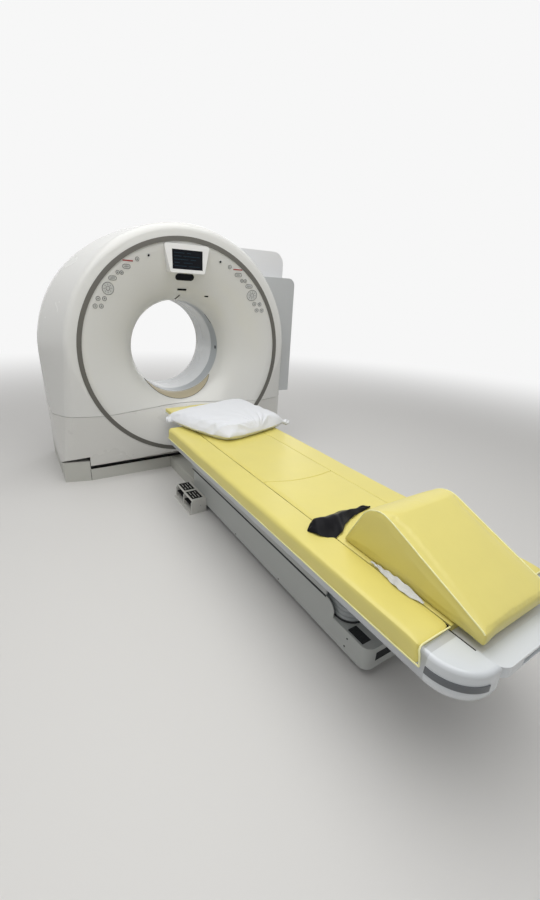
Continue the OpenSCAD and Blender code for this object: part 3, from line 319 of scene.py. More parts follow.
glow_dim = finish("screen_rows_dim", (0.010, 0.022, 0.032), 0.4, mottle=0.3, mottle_size=0.03,
                  specular=0.1)
ROW_FIRST = 0.022
ROW_PITCH = 0.0215
ROW_HALF = 0.003
ROW_SPANS = (((0.06, 0.40), (0.48, 0.62)), ((0.06, 0.30), (0.36, 0.90)), ((0.06, 0.52), (0.60, 0.78)),
             ((0.06, 0.24), (0.36, 0.66)), ((0.06, 0.46), (0.54, 0.90)))
screen_low, screen_high = (Vector(corner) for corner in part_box("display_screen"))
wide = screen_high.x - screen_low.x
rows_print = bmesh.new()
for row, spans in enumerate(ROW_SPANS):
    z = screen_high.z - ROW_FIRST - ROW_PITCH * row
    for first, last in spans:
        bar(rows_print, (screen_low.x + wide * first, screen_low.y - 0.0006, z - ROW_HALF),
            (screen_low.x + wide * last, screen_low.y + 0.0002, z + ROW_HALF))
add_piece("screen_rows", rows_print, "gantry", glow_dim)

# ---------------------------------------------------------------- control keys
# Membrane keys of pale grey film over the face on both sides, each with a fine dark border
# and a plain mark. The intercoms have a rim of the same film, and the sill a dark border.
key_film = finish("key_film", (0.60, 0.61, 0.60), 0.5, mottle=0.04, grain=0.2, grain_size=0.001)
dress(key_film, "control_keys")


def piping(name, lines, radius, body, material, closed=False):
    """Round piping along one or more lines of points."""
    curve = bpy.data.curves.new(name, "CURVE")
    curve.dimensions = "3D"
    curve.bevel_depth = radius
    curve.bevel_resolution = 2
    curve.use_fill_caps = True
    for points in lines:
        spline = curve.splines.new("POLY")
        spline.points.add(len(points) - 1)
        for spot, point in zip(spline.points, points):
            spot.co = (*point, 1)
        spline.use_cyclic_u = closed
    line = bpy.data.objects.new(name + "_line", curve)
    mesh = bpy.data.meshes.new_from_object(line)
    bpy.data.objects.remove(line)
    for face in mesh.polygons:
        face.use_smooth = True
    return add_piece(name, mesh, body, material)


def rims(node):
    """The outer rim of each raised pad of a node: closed loops of points, nearest the front."""
    mesh = bmesh.new()
    mesh.from_mesh(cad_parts[node].data)
    bmesh.ops.remove_doubles(mesh, verts=mesh.verts, dist=2e-5)
    sharp = [edge for edge in mesh.edges if edge.calc_face_angle(0) > math.radians(50)]
    unused = set(sharp)
    loops = []
    for edge in sharp:
        if edge not in unused:
            continue
        unused.discard(edge)
        first, last = edge.verts
        loop = [first, last]
        while last is not first:
            onward = [other for other in last.link_edges if other in unused]
            if not onward:
                break
            unused.discard(onward[0])
            last = onward[0].other_vert(last)
            loop.append(last)
        loops.append([point.co.copy() for point in loop[:-1]])
    mesh.free()
    kept = {}
    same_place = 0.008
    for loop in loops:
        if len(loop) < 6:
            continue
        centre = sum(loop, Vector()) / len(loop)
        spot = (round(centre.x / same_place), round(centre.z / same_place))
        if spot not in kept or centre.y < kept[spot][0]:
            kept[spot] = (centre.y, centre, loop)
    return [(centre, loop) for depth, centre, loop in kept.values()]


def key_strokes(centre, loop):
    """Plain marks for one key: arrows and bars on the small ones, a wheel on the large one."""
    fan = [(loop[i - 1] - centre).cross(loop[i] - centre) for i in range(len(loop))]
    normal = sum(fan, Vector()).normalized()
    if normal.y > 0:
        normal = -normal
    right = Vector((1, 0, 0))
    right = (right - normal * right.dot(normal)).normalized()
    rise = normal.cross(right)
    if rise.z < 0:
        rise = -rise
    half = max(abs((point - centre).dot(right)) for point in loop)
    tall = max(abs((point - centre).dot(rise)) for point in loop)

    def spot(x, y):
        return centre + right * x + rise * y + normal * 0.0006

    def polar(radius, degrees):
        turn = math.radians(degrees)
        return spot(radius * math.cos(turn), radius * math.sin(turn))

    if tall > 0.03:
        ring = [polar(0.014, 24 * i) for i in range(16)]
        return [ring] + [[polar(0.021, 45 * i), polar(0.031, 45 * i)] for i in range(8)]
    if half > tall * 1.5:
        return [[spot(-0.014, -0.004), spot(-0.010, 0.004), spot(-0.006, -0.004)],
                [spot(0, -0.006), spot(0, 0.006)],
                [spot(0.006, 0.004), spot(0.010, -0.004), spot(0.014, 0.004)]]
    return [[spot(-0.005, 0), spot(0.005, 0)], [spot(0, -0.005), spot(0, 0.005)]]


ink_dark = finish("ink_dark", (0.03, 0.03, 0.032), 0.5, mottle=0.1, specular=0.15)
key_rims = rims("control_keys")
strokes = [stroke for centre, loop in key_rims for stroke in key_strokes(centre, loop)]
piping("key_borders", [loop for centre, loop in key_rims], 0.0013, "gantry", ink_dark,
       closed=True)
piping("key_marks", strokes, 0.0011, "gantry", ink_dark)
piping("intercom_rims", [loop for centre, loop in rims("intercoms")], 0.0022, "gantry", key_film,
       closed=True)
piping("sill_border", [loop for centre, loop in rims("bore_sill")][:1], 0.0014, "gantry", ink_dark,
       closed=True)

# ---------------------------------------------------------------- base
# Painted sheet covers over the steel floor frame, stands and tilt gear. Black strips along the
# front and rear lips of the plinth and in the upright joints at its ends are painted shade in that gap.
base_beige = finish("base_beige", (0.50, 0.50, 0.46), 0.42, mottle=0.035, grain=0.35, grain_size=0.0012)
frame_steel = finish("frame_steel", (0.13, 0.135, 0.145), 0.5, mottle=0.12, mottle_size=0.15, grain=0.3)
gear_steel = finish("gear_steel", (0.45, 0.45, 0.46), 0.3, metallic=1.0, mottle=0.08, mottle_size=0.05,
                    grain=0.2, grain_size=0.0008)
bearing_steel = finish("bearing_steel", (0.58, 0.58, 0.6), 0.22, metallic=1.0, mottle=0.06,
                       mottle_size=0.05)
motor_dark = finish("motor_dark", (0.07, 0.075, 0.085), 0.45, mottle=0.1, mottle_size=0.1, grain=0.3)
dress(base_beige, "plinth_covers", "base_covers", "floor_duct")
dress(frame_steel, "base_frame", "tilt_stands", "tilt_frame", "table_base", "table_frame",
      "counterweight")
dress(gear_steel, "tilt_pinion", "tilt_sector")
dress(bearing_steel, "tilt_bearings", "bearing_outer", "bearing_inner")
dress(motor_dark, "tilt_motor", "drive_motor", "brush_block")

# A near-black finish for strips of painted shade set into the gap lines of the base and the table.
gap_shade_black = finish("gap_shade_black", (0.012, 0.012, 0.012), 0.8, mottle=0.2, mottle_size=0.02, grain=0.5,
                    specular=0.1)
LIP_SHADE_IN, LIP_SHADE_OUT = 0.0195, 0.0025
LIP_SHADE_RISE = 0.005
JOINT_IN, JOINT_OUT = 0.0006, 0.0026
plinth_low, plinth_high = (Vector(corner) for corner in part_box("plinth_covers"))
# Painted shade: thin black strips on the plinth's top lips and at its upright joints darken the gap
# lines.
plinth_gap_shade_mesh = bmesh.new()
for side in (-1, 1):
    bar(plinth_gap_shade_mesh, (plinth_low.x + 0.004, plinth_high.y - LIP_SHADE_IN, plinth_high.z - 0.0005),
        (plinth_high.x - 0.004, plinth_high.y - LIP_SHADE_OUT, plinth_high.z + LIP_SHADE_RISE),
        edge=0.001, flip=(1, side))
    for end in (-1, 1):
        bar(plinth_gap_shade_mesh, (plinth_high.x - JOINT_IN, plinth_high.y - 0.004, 0.002),
            (plinth_high.x + JOINT_OUT, plinth_high.y + 0.0004, plinth_high.z - 0.001),
            edge=0.0004, flip=(end, side))
add_piece("plinth_gap_shade", plinth_gap_shade_mesh, "base", gap_shade_black)

# ---------------------------------------------------------------- rotor
# The spinning half behind the covers: an aluminium drum with the tube housing, the tank and
# the detector bolted to it, brass slip rings at its back and a rubber drive belt round it.
rotor_aluminium = finish("rotor_aluminium", (0.52, 0.53, 0.55), 0.34, metallic=1.0, mottle=0.06,
                         mottle_size=0.1, grain=0.25, grain_size=0.0008)
housing_grey = finish("housing_grey", (0.30, 0.31, 0.33), 0.42, mottle=0.07, mottle_size=0.1, grain=0.3)
contact_brass = finish("contact_brass", (0.60, 0.42, 0.16), 0.25, metallic=1.0, mottle=0.08,
                       mottle_size=0.05)
belt_rubber = finish("belt_rubber", (0.025, 0.025, 0.026), 0.65, mottle=0.15, mottle_size=0.05, grain=0.4)
dress(rotor_aluminium, "rotor_drum", "motor_pulley", "middle_columns")
dress(housing_grey, "tube_housing", "collimator", "high_voltage_tank", "detector_arc")
dress(contact_brass, "slip_ring")
dress(belt_rubber, "drive_belt")

# ---------------------------------------------------------------- pedestal and bellows
# The pedestal has a painted steel cover with a low vented deck at the foot end and a row of
# screws. A thin dark strip along the joint under the lift skirts is painted shade in that gap.
# Rubberised bellows close the gap up to the table frame.
pedestal_grey = finish("pedestal_grey", (0.44, 0.455, 0.44), 0.36, mottle=0.03, grain=0.3,
                       grain_size=0.0012)
bellows_grey = finish("bellows_grey", (0.36, 0.38, 0.385), 0.5, mottle=0.06, mottle_size=0.2, grain=0.3)
smooth_copy("pedestal_cover", "base", pedestal_grey)
smooth_copy("lift_skirts", "table_top", pedestal_grey)
# Near-black rubber for the vents, screws and bellows seal, also used for the strip of painted shade at
# the pedestal joint.
dark_rubber_and_gap_shade = finish("dark_rubber_and_gap_shade", (0.032, 0.034, 0.036), 0.6, mottle=0.15, mottle_size=0.03,
                     grain=0.3, specular=0.2)
PEDESTAL_HALF = 0.188
DECK_Z = 0.160
GAP_SHADE_Z = 0.2265
GAP_SHADE_TALL = 0.010
# Painted shade: a thin dark strip on the pedestal cover's top edge, under the lift skirts, darkens the
# joint.
pedestal_gap_shade_mesh = bmesh.new()
for side in (-1, 1):
    bar(pedestal_gap_shade_mesh, (PEDESTAL_HALF - 0.0002, -2.545, GAP_SHADE_Z),
        (PEDESTAL_HALF + 0.0016, -1.010, GAP_SHADE_Z + GAP_SHADE_TALL), edge=0.0005, flip=(side, 1))
add_piece("pedestal_gap_shade", pedestal_gap_shade_mesh, "base", dark_rubber_and_gap_shade)

SLAT_WIDE = 0.005
DECK_PITCH, DECK_SLATS = 0.0125, 7
FOOT_PITCH, FOOT_SLATS = 0.0100, 4
vents = bmesh.new()
bar(vents, (-0.178, -2.775, DECK_Z - 0.0004), (-0.130, -2.688, DECK_Z + 0.0008), edge=0.0003)
for i in range(DECK_SLATS):
    y = -2.768 + DECK_PITCH * i
    bar(vents, (-0.175, y, DECK_Z), (-0.133, y + SLAT_WIDE, DECK_Z + 0.0028), edge=0.0006)
foot_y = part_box("pedestal_cover")[0][1]
bar(vents, (-0.135, foot_y - 0.0008, 0.088), (0.135, foot_y + 0.0004, 0.130), edge=0.0003)
for i in range(FOOT_SLATS):
    z = 0.0915 + FOOT_PITCH * i
    bar(vents, (-0.131, foot_y - 0.0028, z), (0.131, foot_y, z + SLAT_WIDE), edge=0.0006)
add_piece("pedestal_vents", vents, "base", dark_rubber_and_gap_shade)

SCREW_R = 0.0045
SCREW_TALL = 0.0020
SCREW_SPOTS = ((-2.700, 0.127), (-2.690, 0.078), (-2.180, 0.064), (-1.700, 0.064), (-1.200, 0.064))
screws = bmesh.new()
for side in (-1, 1):
    for y, z in SCREW_SPOTS:
        place = Matrix.Translation((side * (PEDESTAL_HALF + 0.0006), y, z))
        turned = Matrix.Rotation(math.pi / 2, 4, "Y") @ Matrix.Scale(side, 4, (0, 0, 1))
        bmesh.ops.create_cone(screws, cap_ends=True, segments=16, radius1=SCREW_R,
                              radius2=SCREW_R * 0.8, depth=SCREW_TALL, matrix=place @ turned)
bmesh.ops.recalc_face_normals(screws, faces=screws.faces)
add_piece("pedestal_screws", screws, "base", dark_rubber_and_gap_shade)

RIBS = 12
FOLD = (0.0105, 0.0025, 0, 0.0025)
BELLOWS_LOW = 0.1605
BELLOWS_HIGH = 0.4315
BELLOWS_R = 0.070
BELLOWS_FOOT = -2.680
BELLOWS_HEAD = -1.040
middle_y = (BELLOWS_FOOT + BELLOWS_HEAD) / 2
half_x, half_y = 0.168, (BELLOWS_HEAD - BELLOWS_FOOT) / 2
bellows = bmesh.new()
bmesh.ops.create_grid(bellows, x_segments=1, y_segments=1, size=1,
                      matrix=Matrix.LocRotScale((0, middle_y, BELLOWS_LOW), None, (half_x, half_y, 1)))
bmesh.ops.bevel(bellows, geom=list(bellows.verts), offset=BELLOWS_R, offset_type="OFFSET", segments=8,
                profile=0.5, affect="VERTICES", material=-1)
bmesh.ops.delete(bellows, geom=list(bellows.faces), context="FACES_ONLY")
long_edges = [edge for edge in bellows.edges if edge.calc_length() > 0.2]
bmesh.ops.subdivide_edges(bellows, edges=long_edges, cuts=30)
loop = list(bellows.edges)
core_x, core_y = half_x - BELLOWS_R, half_y - BELLOWS_R
steps = RIBS * len(FOLD)
for i in range(steps + 1):
    z = BELLOWS_LOW + (BELLOWS_HIGH - BELLOWS_LOW) * i / steps
    for point in {end for edge in loop for end in edge.verts}:
        core = Vector((max(-core_x, min(core_x, point.co.x)),
                       middle_y + max(-core_y, min(core_y, point.co.y - middle_y)), 0))
        out = Vector((point.co.x - core.x, point.co.y - core.y, 0)).normalized()
        point.co = core + out * (BELLOWS_R - FOLD[i % len(FOLD)]) + Vector((0, 0, z))
    if i < steps:
        grown = bmesh.ops.extrude_edge_only(bellows, edges=loop)
        loop = [item for item in grown["geom"]
                if isinstance(item, bmesh.types.BMEdge) and item.is_boundary
                and all(abs(end.co.z - loop[0].verts[0].co.z) < 1e-6 for end in item.verts)]
bmesh.ops.recalc_face_normals(bellows, faces=bellows.faces)
smooth_faces(bellows, 70)
made = add_piece("bellows_skin", bellows, None, bellows_grey)
wall = made.modifiers.new("rubber", "SOLIDIFY")
wall.thickness = 0.002
wall.offset = -1
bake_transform(made)
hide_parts("bellows")
seal_r = BELLOWS_R + 0.002
base_line = []
for corner_x, corner_y, first in ((1, 1, 0), (-1, 1, 90), (-1, -1, 180), (1, -1, 270)):
    for turn in [math.radians(first + 90 * i / 8) for i in range(9)]:
        base_line.append((corner_x * core_x + seal_r * math.cos(turn),
                          middle_y + corner_y * core_y + seal_r * math.sin(turn), DECK_Z + 0.003))
piping("bellows_seal", [base_line], 0.0032, "base", dark_rubber_and_gap_shade, closed=True)

# ---------------------------------------------------------------- rails and cradle
# Anodised rail extrusions, glossy moulded noses with a dark inlay strip, and the sliding tray.
# Black strips in the two gaps between the tray and the rails, in two heights, are painted shade.
rail_anodised = finish("rail_anodised", (0.50, 0.52, 0.54), 0.34, metallic=0.25, mottle=0.03, grain=0.15,
                       grain_size=0.0008, stretch=(1, 0.05, 1))
nose_white = finish("nose_white", (0.66, 0.69, 0.71), 0.2, mottle=0.02, coat=0.25)
inlay_dark = finish("inlay_dark", (0.12, 0.13, 0.14), 0.3, mottle=0.05, grain=0.1)
cradle_grey = finish("cradle_grey", (0.68, 0.69, 0.69), 0.35, mottle=0.03, grain=0.2)
smooth_copy("table_rails", "table_top", rail_anodised)
smooth_copy("rail_noses", "table_top", nose_white)
smooth_copy("nose_inlays", "table_top", inlay_dark)
smooth_copy("cradle", "cradle", cradle_grey)
smooth_copy("cradle_end", "cradle", nose_white)
GAP_HEAD = -0.995
# Painted shade: black strips set into the gaps beside the tray darken them.
gaps = bmesh.new()
for side in (-1, 1):
    bar(gaps, (0.2075, -3.245, 0.497), (0.2148, GAP_HEAD, 0.5425), flip=(side, 1))
    bar(gaps, (0.2068, -3.098, 0.534), (0.2088, GAP_HEAD, 0.5535), flip=(side, 1))
add_piece("rail_gap_shade", gaps, "table_top", gap_shade_black)

# ---------------------------------------------------------------- side pads
# A strip of foam in a vinyl cover lies on each rail and hangs over its outer edge. The cover
# is bound with pale piping along its hem and round its slanted foot end.
def swept(profile, travel, steps):
    """A closed line of points swept straight by travel, with both ends filled."""
    mesh = bmesh.new()
    ring = [mesh.verts.new(point) for point in profile]
    loop = [mesh.edges.new((ring[i - 1], ring[i])) for i in range(len(ring))]
    bmesh.ops.spin(mesh, geom=ring + loop, cent=(0, 0, 0), axis=(0, 0, 1), dvec=Vector(travel) / steps,
                   angle=0, steps=steps)
    bmesh.ops.holes_fill(mesh, edges=[edge for edge in mesh.edges if edge.is_boundary], sides=0)
    bmesh.ops.recalc_face_normals(mesh, faces=mesh.faces)
    return mesh


def round_edges(mesh, radius, segments, chosen):
    """Rounds the edges whose two ends both pass the test."""
    edges = [edge for edge in mesh.edges if all(chosen(end.co) for end in edge.verts)]
    bmesh.ops.bevel(mesh, geom=edges, offset=radius, offset_type="OFFSET", segments=segments, profile=0.5,
                    affect="EDGES", material=-1, clamp_overlap=True)


def soften(mesh, amount, size, seed):
    """Moves points in and out a little, as foam under a cover does, but for the inner edge."""
    mesh.normal_update()
    for point in (point for point in mesh.verts if abs(point.co.x) > 0.218):
        wave = noise.noise(point.co / size + Vector((seed, 0, 0)))
        point.co += point.normal * wave * amount


def subdivide(piece, levels):
    """A live subdivision surface, the same in the view and the render."""
    rounding = piece.modifiers.new("rounding", "SUBSURF")
    rounding.levels = levels
    rounding.render_levels = levels


vinyl = finish("vinyl_yellow", (0.74, 0.65, 0.185), 0.38, mottle=0.05, mottle_size=0.18, grain=0.35,
               grain_size=0.0012, coat=0.08)
piping_pale = finish("piping_pale", (0.86, 0.83, 0.44), 0.42, mottle=0.04, mottle_size=0.05, grain=0.2)
PAD_FOOT = -3.125
PAD_HEAD = -0.984
PAD_TOP = 0.561
PAD_BED = 0.5455
PAD_INNER = 0.209
PAD_OUTER = 0.3545
FLAP_INNER = 0.3465
HEM_Z = 0.490
EDGE_R = 0.023
PAD_CORNERS = ((PAD_INNER, PAD_BED), (PAD_INNER, PAD_TOP), (0.353, PAD_TOP), (PAD_OUTER, HEM_Z),
               (FLAP_INNER, HEM_Z), (FLAP_INNER, PAD_BED))
PAD_END_LINE = ((0.3615, -3.1215, 0.500), (0.3605, -3.1190, 0.513), (0.3585, -3.1140, 0.533),
                (0.3560, -3.1080, 0.546), (0.3490, -3.1050, 0.5530), (0.3380, -3.1035, 0.5550),
                (0.2900, -3.1030, 0.5555), (0.2110, -3.1030, 0.5555))


def foot_pull(y):
    """How far a point takes part in the shape of the pads' foot end, from 0 to 1."""
    return max(0, 1 - (y - PAD_FOOT) / 0.14) ** 2


def sharpen(pad, side):
    """Draws the rounded outer edge out to a crease, more and more toward the foot end."""
    round_x, round_z = 0.330, PAD_TOP - EDGE_R
    for point in pad.verts:
        out, rise = abs(point.co.x) - round_x, point.co.z - round_z
        if out > 0.001 and rise > 0.001:
            crease = 0.6 * max(0, 1 - (point.co.y - PAD_FOOT) / 0.9)
            grow = 1 + crease * (0.0232 / max(out, rise) - 1)
            point.co.x = side * (round_x + out * grow)
            point.co.z = round_z + rise * grow


for side, name in ((-1, "left"), (1, "right")):
    profile = [Vector((side * x, PAD_FOOT, z)) for x, z in PAD_CORNERS]
    pad = swept(profile, (0, PAD_HEAD - PAD_FOOT, 0), 90)
    round_edges(pad, EDGE_R, 6, lambda co: abs(co.x) > 0.352 and co.z > 0.56)
    round_edges(pad, 0.006 if side < 0 else 0.002, 3, lambda co: abs(co.x) < 0.2095 and co.z > 0.56)
    round_edges(pad, 0.003, 2, lambda co: abs(co.x) > 0.353 and co.z < HEM_Z + 0.001)
    sharpen(pad, side)
    soften(pad, 0.0028, 0.11, 3 + side)
    soften(pad, 0.0035, 0.45, 7 + side)
    for point in pad.verts:
        down = min(1, max(0, (PAD_TOP - point.co.z) / (PAD_TOP - HEM_Z)))
        pull = foot_pull(point.co.y)
        point.co.z -= 0.007 * max(0, 1 - (point.co.y - PAD_FOOT) / 0.07) ** 2 * (1 - down)
        point.co.y += pull * (0.022 - 0.018 * down ** 1.5)
        point.co.x += side * pull * 0.007 * down
        point.co.z += pull * 0.010 * down
    smooth_faces(pad, 50)
    made = add_piece("side_pad_" + name, pad, "table_top", vinyl)
    subdivide(made, 1)
    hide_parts("side_pads")
    hem = []
    for i in range(61):
        y = PAD_HEAD + (PAD_FOOT + 0.004 - PAD_HEAD) * i / 60
        pull = foot_pull(y)
        hem.append(Vector((side * (PAD_OUTER + 0.007 * pull), y, HEM_Z + 0.010 * pull)))
    end = [Vector((side * x, y, z)) for x, y, z in PAD_END_LINE]
    piping("side_pad_piping_" + name, [hem, end], 0.0028, "table_top", piping_pale)

# ---------------------------------------------------------------- cradle pad
# The long thin pad on the sliding tray, sewn from two lengths of vinyl that meet in a curved
# seam. It lies a little nearer the right side pad, so the gap shows dark along the left. Its
# foot end stops under the wedge.
PAD_LOW = 0.5315
SEAM_CENTRE = -2.058
PAD_END = -3.102
PAD_TIP = -0.492
ROW_STEP = 0.022
rows = [PAD_END + ROW_STEP * i for i in range(48)]
rows += [SEAM_CENTRE - 0.004, SEAM_CENTRE - 0.0015, SEAM_CENTRE + 0.0015, SEAM_CENTRE + 0.004]
rows += [SEAM_CENTRE + 0.026 + ROW_STEP * i for i in range(69)] + [PAD_TIP]
pad = bmesh.new()
bmesh.ops.create_grid(pad, x_segments=26, y_segments=len(rows) - 1, size=1)
for point in pad.verts:
    across = point.co.x
    y = rows[round((point.co.y + 1) / 2 * (len(rows) - 1))]
    half, fall = (0.2025, 0.006) if across < 0 else (0.2078, 0.0015)
    x = math.copysign(half * abs(across) ** 0.85, across)
    from_edge = min(half - abs(x), y - PAD_END, PAD_TIP - y)
    bow = 0.947 * ((x - 0.06) ** 2 - 0.02) * max(0, 1 - abs(y - SEAM_CENTRE) / 0.5) ** 2
    z = PAD_TOP - fall * max(0, 1 - from_edge / 0.010) ** 2
    if abs(y - SEAM_CENTRE) < 0.002:
        z -= 0.0035
    point.co = (x, y + bow, z + 0.0012 * noise.noise(Vector((x, y, 0)) / 0.16))
rim = [edge for edge in pad.edges if edge.is_boundary]
skirt = bmesh.ops.extrude_edge_only(pad, edges=rim)
for point in [item for item in skirt["geom"] if isinstance(item, bmesh.types.BMVert)]:
    point.co.z = PAD_LOW
bmesh.ops.holes_fill(pad, edges=[edge for edge in pad.edges if edge.is_boundary], sides=0)
bmesh.ops.recalc_face_normals(pad, faces=pad.faces)
smooth_faces(pad, 50)
made = add_piece("cradle_pad", pad, "cradle", vinyl)
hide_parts("table_pad")

# ---------------------------------------------------------------- knee wedge
# A firm foam wedge in the same vinyl, laid loose on the cradle pad under the knees. Its top
# is sewn to its two side panels along piped edges, and the foam fills the panels out a little.
def puff(piece, pressure, frames, cap):
    """Swells a closed cloth form as its filling does; cap gives how far each point may move."""
    before = [point.co.copy() for point in piece.data.vertices]
    cloth = piece.modifiers.new("filling", "CLOTH")
    cloth.settings.quality = 5
    cloth.settings.mass = 0.25
    cloth.settings.use_pressure = True
    cloth.settings.uniform_pressure_force = pressure
    cloth.settings.effector_weights.gravity = 0
    cloth.settings.tension_stiffness = 12
    cloth.settings.compression_stiffness = 6
    cloth.settings.bending_stiffness = 0.2
    cloth.point_cache.frame_start = 1
    cloth.point_cache.frame_end = frames
    for number in range(1, frames + 1):
        scene.frame_set(number)
    shaped = piece.evaluated_get(bpy.context.evaluated_depsgraph_get())
    after = [point.co.copy() for point in shaped.data.vertices]
    piece.modifiers.remove(cloth)
    scene.frame_set(1)
    for point, old, new in zip(piece.data.vertices, before, after):
        step = new - old
        point.co = old + step * min(1, cap(old) / max(step.length, 1e-9))


def remesh(piece, voxel):
    """An even skin of small square faces over a closed form."""
    even = piece.modifiers.new("even_skin", "REMESH")
    even.mode = "VOXEL"
    even.voxel_size = voxel
    shaped = piece.evaluated_get(bpy.context.evaluated_depsgraph_get())
    skin = bpy.data.meshes.new_from_object(shaped)
    piece.modifiers.remove(even)
    material = piece.data.materials[0]
    piece.data = skin
    skin.materials.clear()
    skin.materials.append(material)
    for face in skin.polygons:
        face.use_smooth = True


WEDGE_LOW = 0.5615
WEDGE_HALF = 0.192
CREST_Y = -2.770
CREST_R = 0.104
slope = [(-3.203, 0), (-3.203, 0.030), (-3.200, 0.040), (-3.191, 0.045)]
slope += [(-3.192 + 0.383 * i / 14, 0.045 + 0.1564 * i / 14) for i in range(1, 14)]
slope += [(CREST_Y + CREST_R * math.cos(turn), 0.105 + CREST_R * math.sin(turn))
          for turn in [math.radians(112 - 77 * i / 9) for i in range(10)]]
slope += [(-2.685 + 0.083 * i / 8, 0.165 - 0.165 * i / 8) for i in range(1, 9)]
wedge_line = [Vector((0, y, WEDGE_LOW + z)) for y, z in slope]
wedge = swept([point + Vector((-WEDGE_HALF, 0, 0)) for point in wedge_line], (2 * WEDGE_HALF, 0, 0), 4)
made = add_piece("knee_wedge", wedge, "cradle", vinyl)
remesh(made, 0.007)
puff(made, pressure=3.0, frames=14,
     cap=lambda co: 0.007 * min(1, max(0.15, (WEDGE_HALF + 0.03 - abs(co.x)) / 0.1)))


def askew(spot):
    """The wedge lies a little askew: its foot end reaches over the pad's left edge."""
    return spot + Vector((-0.004 + 0.020 * (spot.y + 2.9), 0, 0))


for point in made.data.vertices:
    wave = noise.noise(point.co / 0.10 + Vector((21, 0, 0)))
    if abs(point.co.x) > WEDGE_HALF - 0.004:
        point.co.x += math.copysign(0.0022 * wave, point.co.x)
    elif point.co.z > WEDGE_LOW + 0.02:
        point.co.z += 0.0015 * wave
    if point.co.z < WEDGE_LOW + 0.004:
        point.co.z = max(WEDGE_LOW, min(point.co.z, WEDGE_LOW + 0.0005))
    point.co = askew(point.co)
subdivide(made, 1)
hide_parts("leg_wedge")
welts = []
for side in (-1, 1):
    edge_line = [askew(point + Vector((side * WEDGE_HALF, 0, 0))) for point in wedge_line[1:-1]]
    found = [made.closest_point_on_mesh(point) for point in edge_line]
    spots = [spot + normal * 0.0006 for hit, spot, normal, face in found]
    welts.append([(before + spot * 2 + after) / 4
                  for before, spot, after in zip(spots, spots[1:], spots[2:])])
piping("knee_wedge_piping", welts, 0.0026, "cradle", piping_pale)

# ---------------------------------------------------------------- pillow
# A soft pillow in a white cotton case, laid askew over the head end of the pads. It is blown
# up by a cloth simulation and flattened where it lies; folds fan out from its near edge, and
# two corners of the case are gathered to a lump.
cotton = finish("cotton_white", (0.76, 0.775, 0.80), 0.8, mottle=0.02, grain=0.3, grain_size=0.0008,
                sheen=0.2)


def settle(mesh):
    """Puts edges and faces in the order of their points, so that every run swells alike."""
    mesh.verts.index_update()
    count = len(mesh.verts)
    for items in (mesh.edges, mesh.faces):
        items.sort(key=lambda item: (min(point.index for point in item.verts) * count
                                     + max(point.index for point in item.verts)))


PILLOW_TIPS = [Vector((-0.335, -0.855, 0)), Vector((-0.125, -1.475, 0)), Vector((0.435, -1.300, 0)),
               Vector((0.388, -0.668, 0))]
PILLOW_HIGH = 0.098
PILLOW_RIM = 0.030
LAID_Z = PAD_TOP + 0.0006
pillow = bmesh.new()
bmesh.ops.create_grid(pillow, x_segments=80, y_segments=80, size=1)
lower = bmesh.ops.extrude_face_region(pillow, geom=list(pillow.faces))
under = {item for item in lower["geom"] if isinstance(item, bmesh.types.BMVert)}
left, foot, right, head = PILLOW_TIPS
centre = sum(PILLOW_TIPS, Vector()) / 4
for point in pillow.verts:
    u, v = point.co.x, point.co.y
    spot = (left * (1 - u) * (1 + v) + head * (1 + u) * (1 + v)
            + foot * (1 - u) * (1 - v) + right * (1 + u) * (1 - v)) / 4
    rim = max(abs(u), abs(v)) ** 2
    draw = 0.05 * (1 - min(abs(u), abs(v)) ** 2) * rim
    if -u >= abs(v) or -v >= abs(u):
        draw = (-0.095 if -u >= abs(v) else -0.035) * (1 - min(abs(u), abs(v)) ** 2) * rim
    draw += 0.07 * max(0, (-u - v) / 2) ** 5
    spot = centre + (spot - centre) * (1 - draw)
    full = (1 - u ** 4) * (1 - v ** 4)
    if point in under:
        spot.z = PILLOW_RIM * max(0, 1 - full / 0.40) ** 1.3 - 0.001
    else:
        spot.z = PILLOW_RIM + (PILLOW_HIGH - PILLOW_RIM) * full ** 0.5
    point.co = spot + Vector((0, 0, PAD_TOP + 0.001))
bmesh.ops.recalc_face_normals(pillow, faces=pillow.faces)
for face in pillow.faces:
    face.smooth = True
settle(pillow)
made = add_piece("pillow_cotton", pillow, "cradle", cotton)
puff(made, pressure=3.0, frames=18, cap=lambda co: 0.020)
fan = Vector((0.13, -1.40, 0))
TOP_FROM = PAD_TOP + 0.100
for point in made.data.vertices:
    flat = Vector((point.co.x, point.co.y, 0)) - fan
    angle = math.atan2(flat.y, flat.x)
    reach = flat.length
    height = min(1, max(0, (point.co.z - PAD_TOP - 0.02) / 0.03))
    ray = math.sin(angle * 10 + 4.0 * noise.noise(Vector((angle * 1.5, reach * 3, 4))))
    sharp_ray = 1 - 2 * abs(ray) ** 0.6
    lift = 0.012 * sharp_ray * min(1, reach / 0.10) * max(0, 1 - reach / 0.55) ** 0.7
    lift += 0.006 * noise.noise(point.co / 0.085)
    lift += 0.0025 * noise.noise(point.co / 0.03 + Vector((7, 0, 0)))
    to_left = (Vector((point.co.x, point.co.y, 0)) - left).length
    lift += 0.012 * noise.noise(point.co / 0.035) * max(0, 1 - to_left / 0.16)
    point.co.z += lift * height
    over = point.co.z - TOP_FROM
    if over > 0:
        point.co.z -= over * over / (over + 0.015)
    point.co.z = max(point.co.z, LAID_Z)
subdivide(made, 1)
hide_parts("pillow")

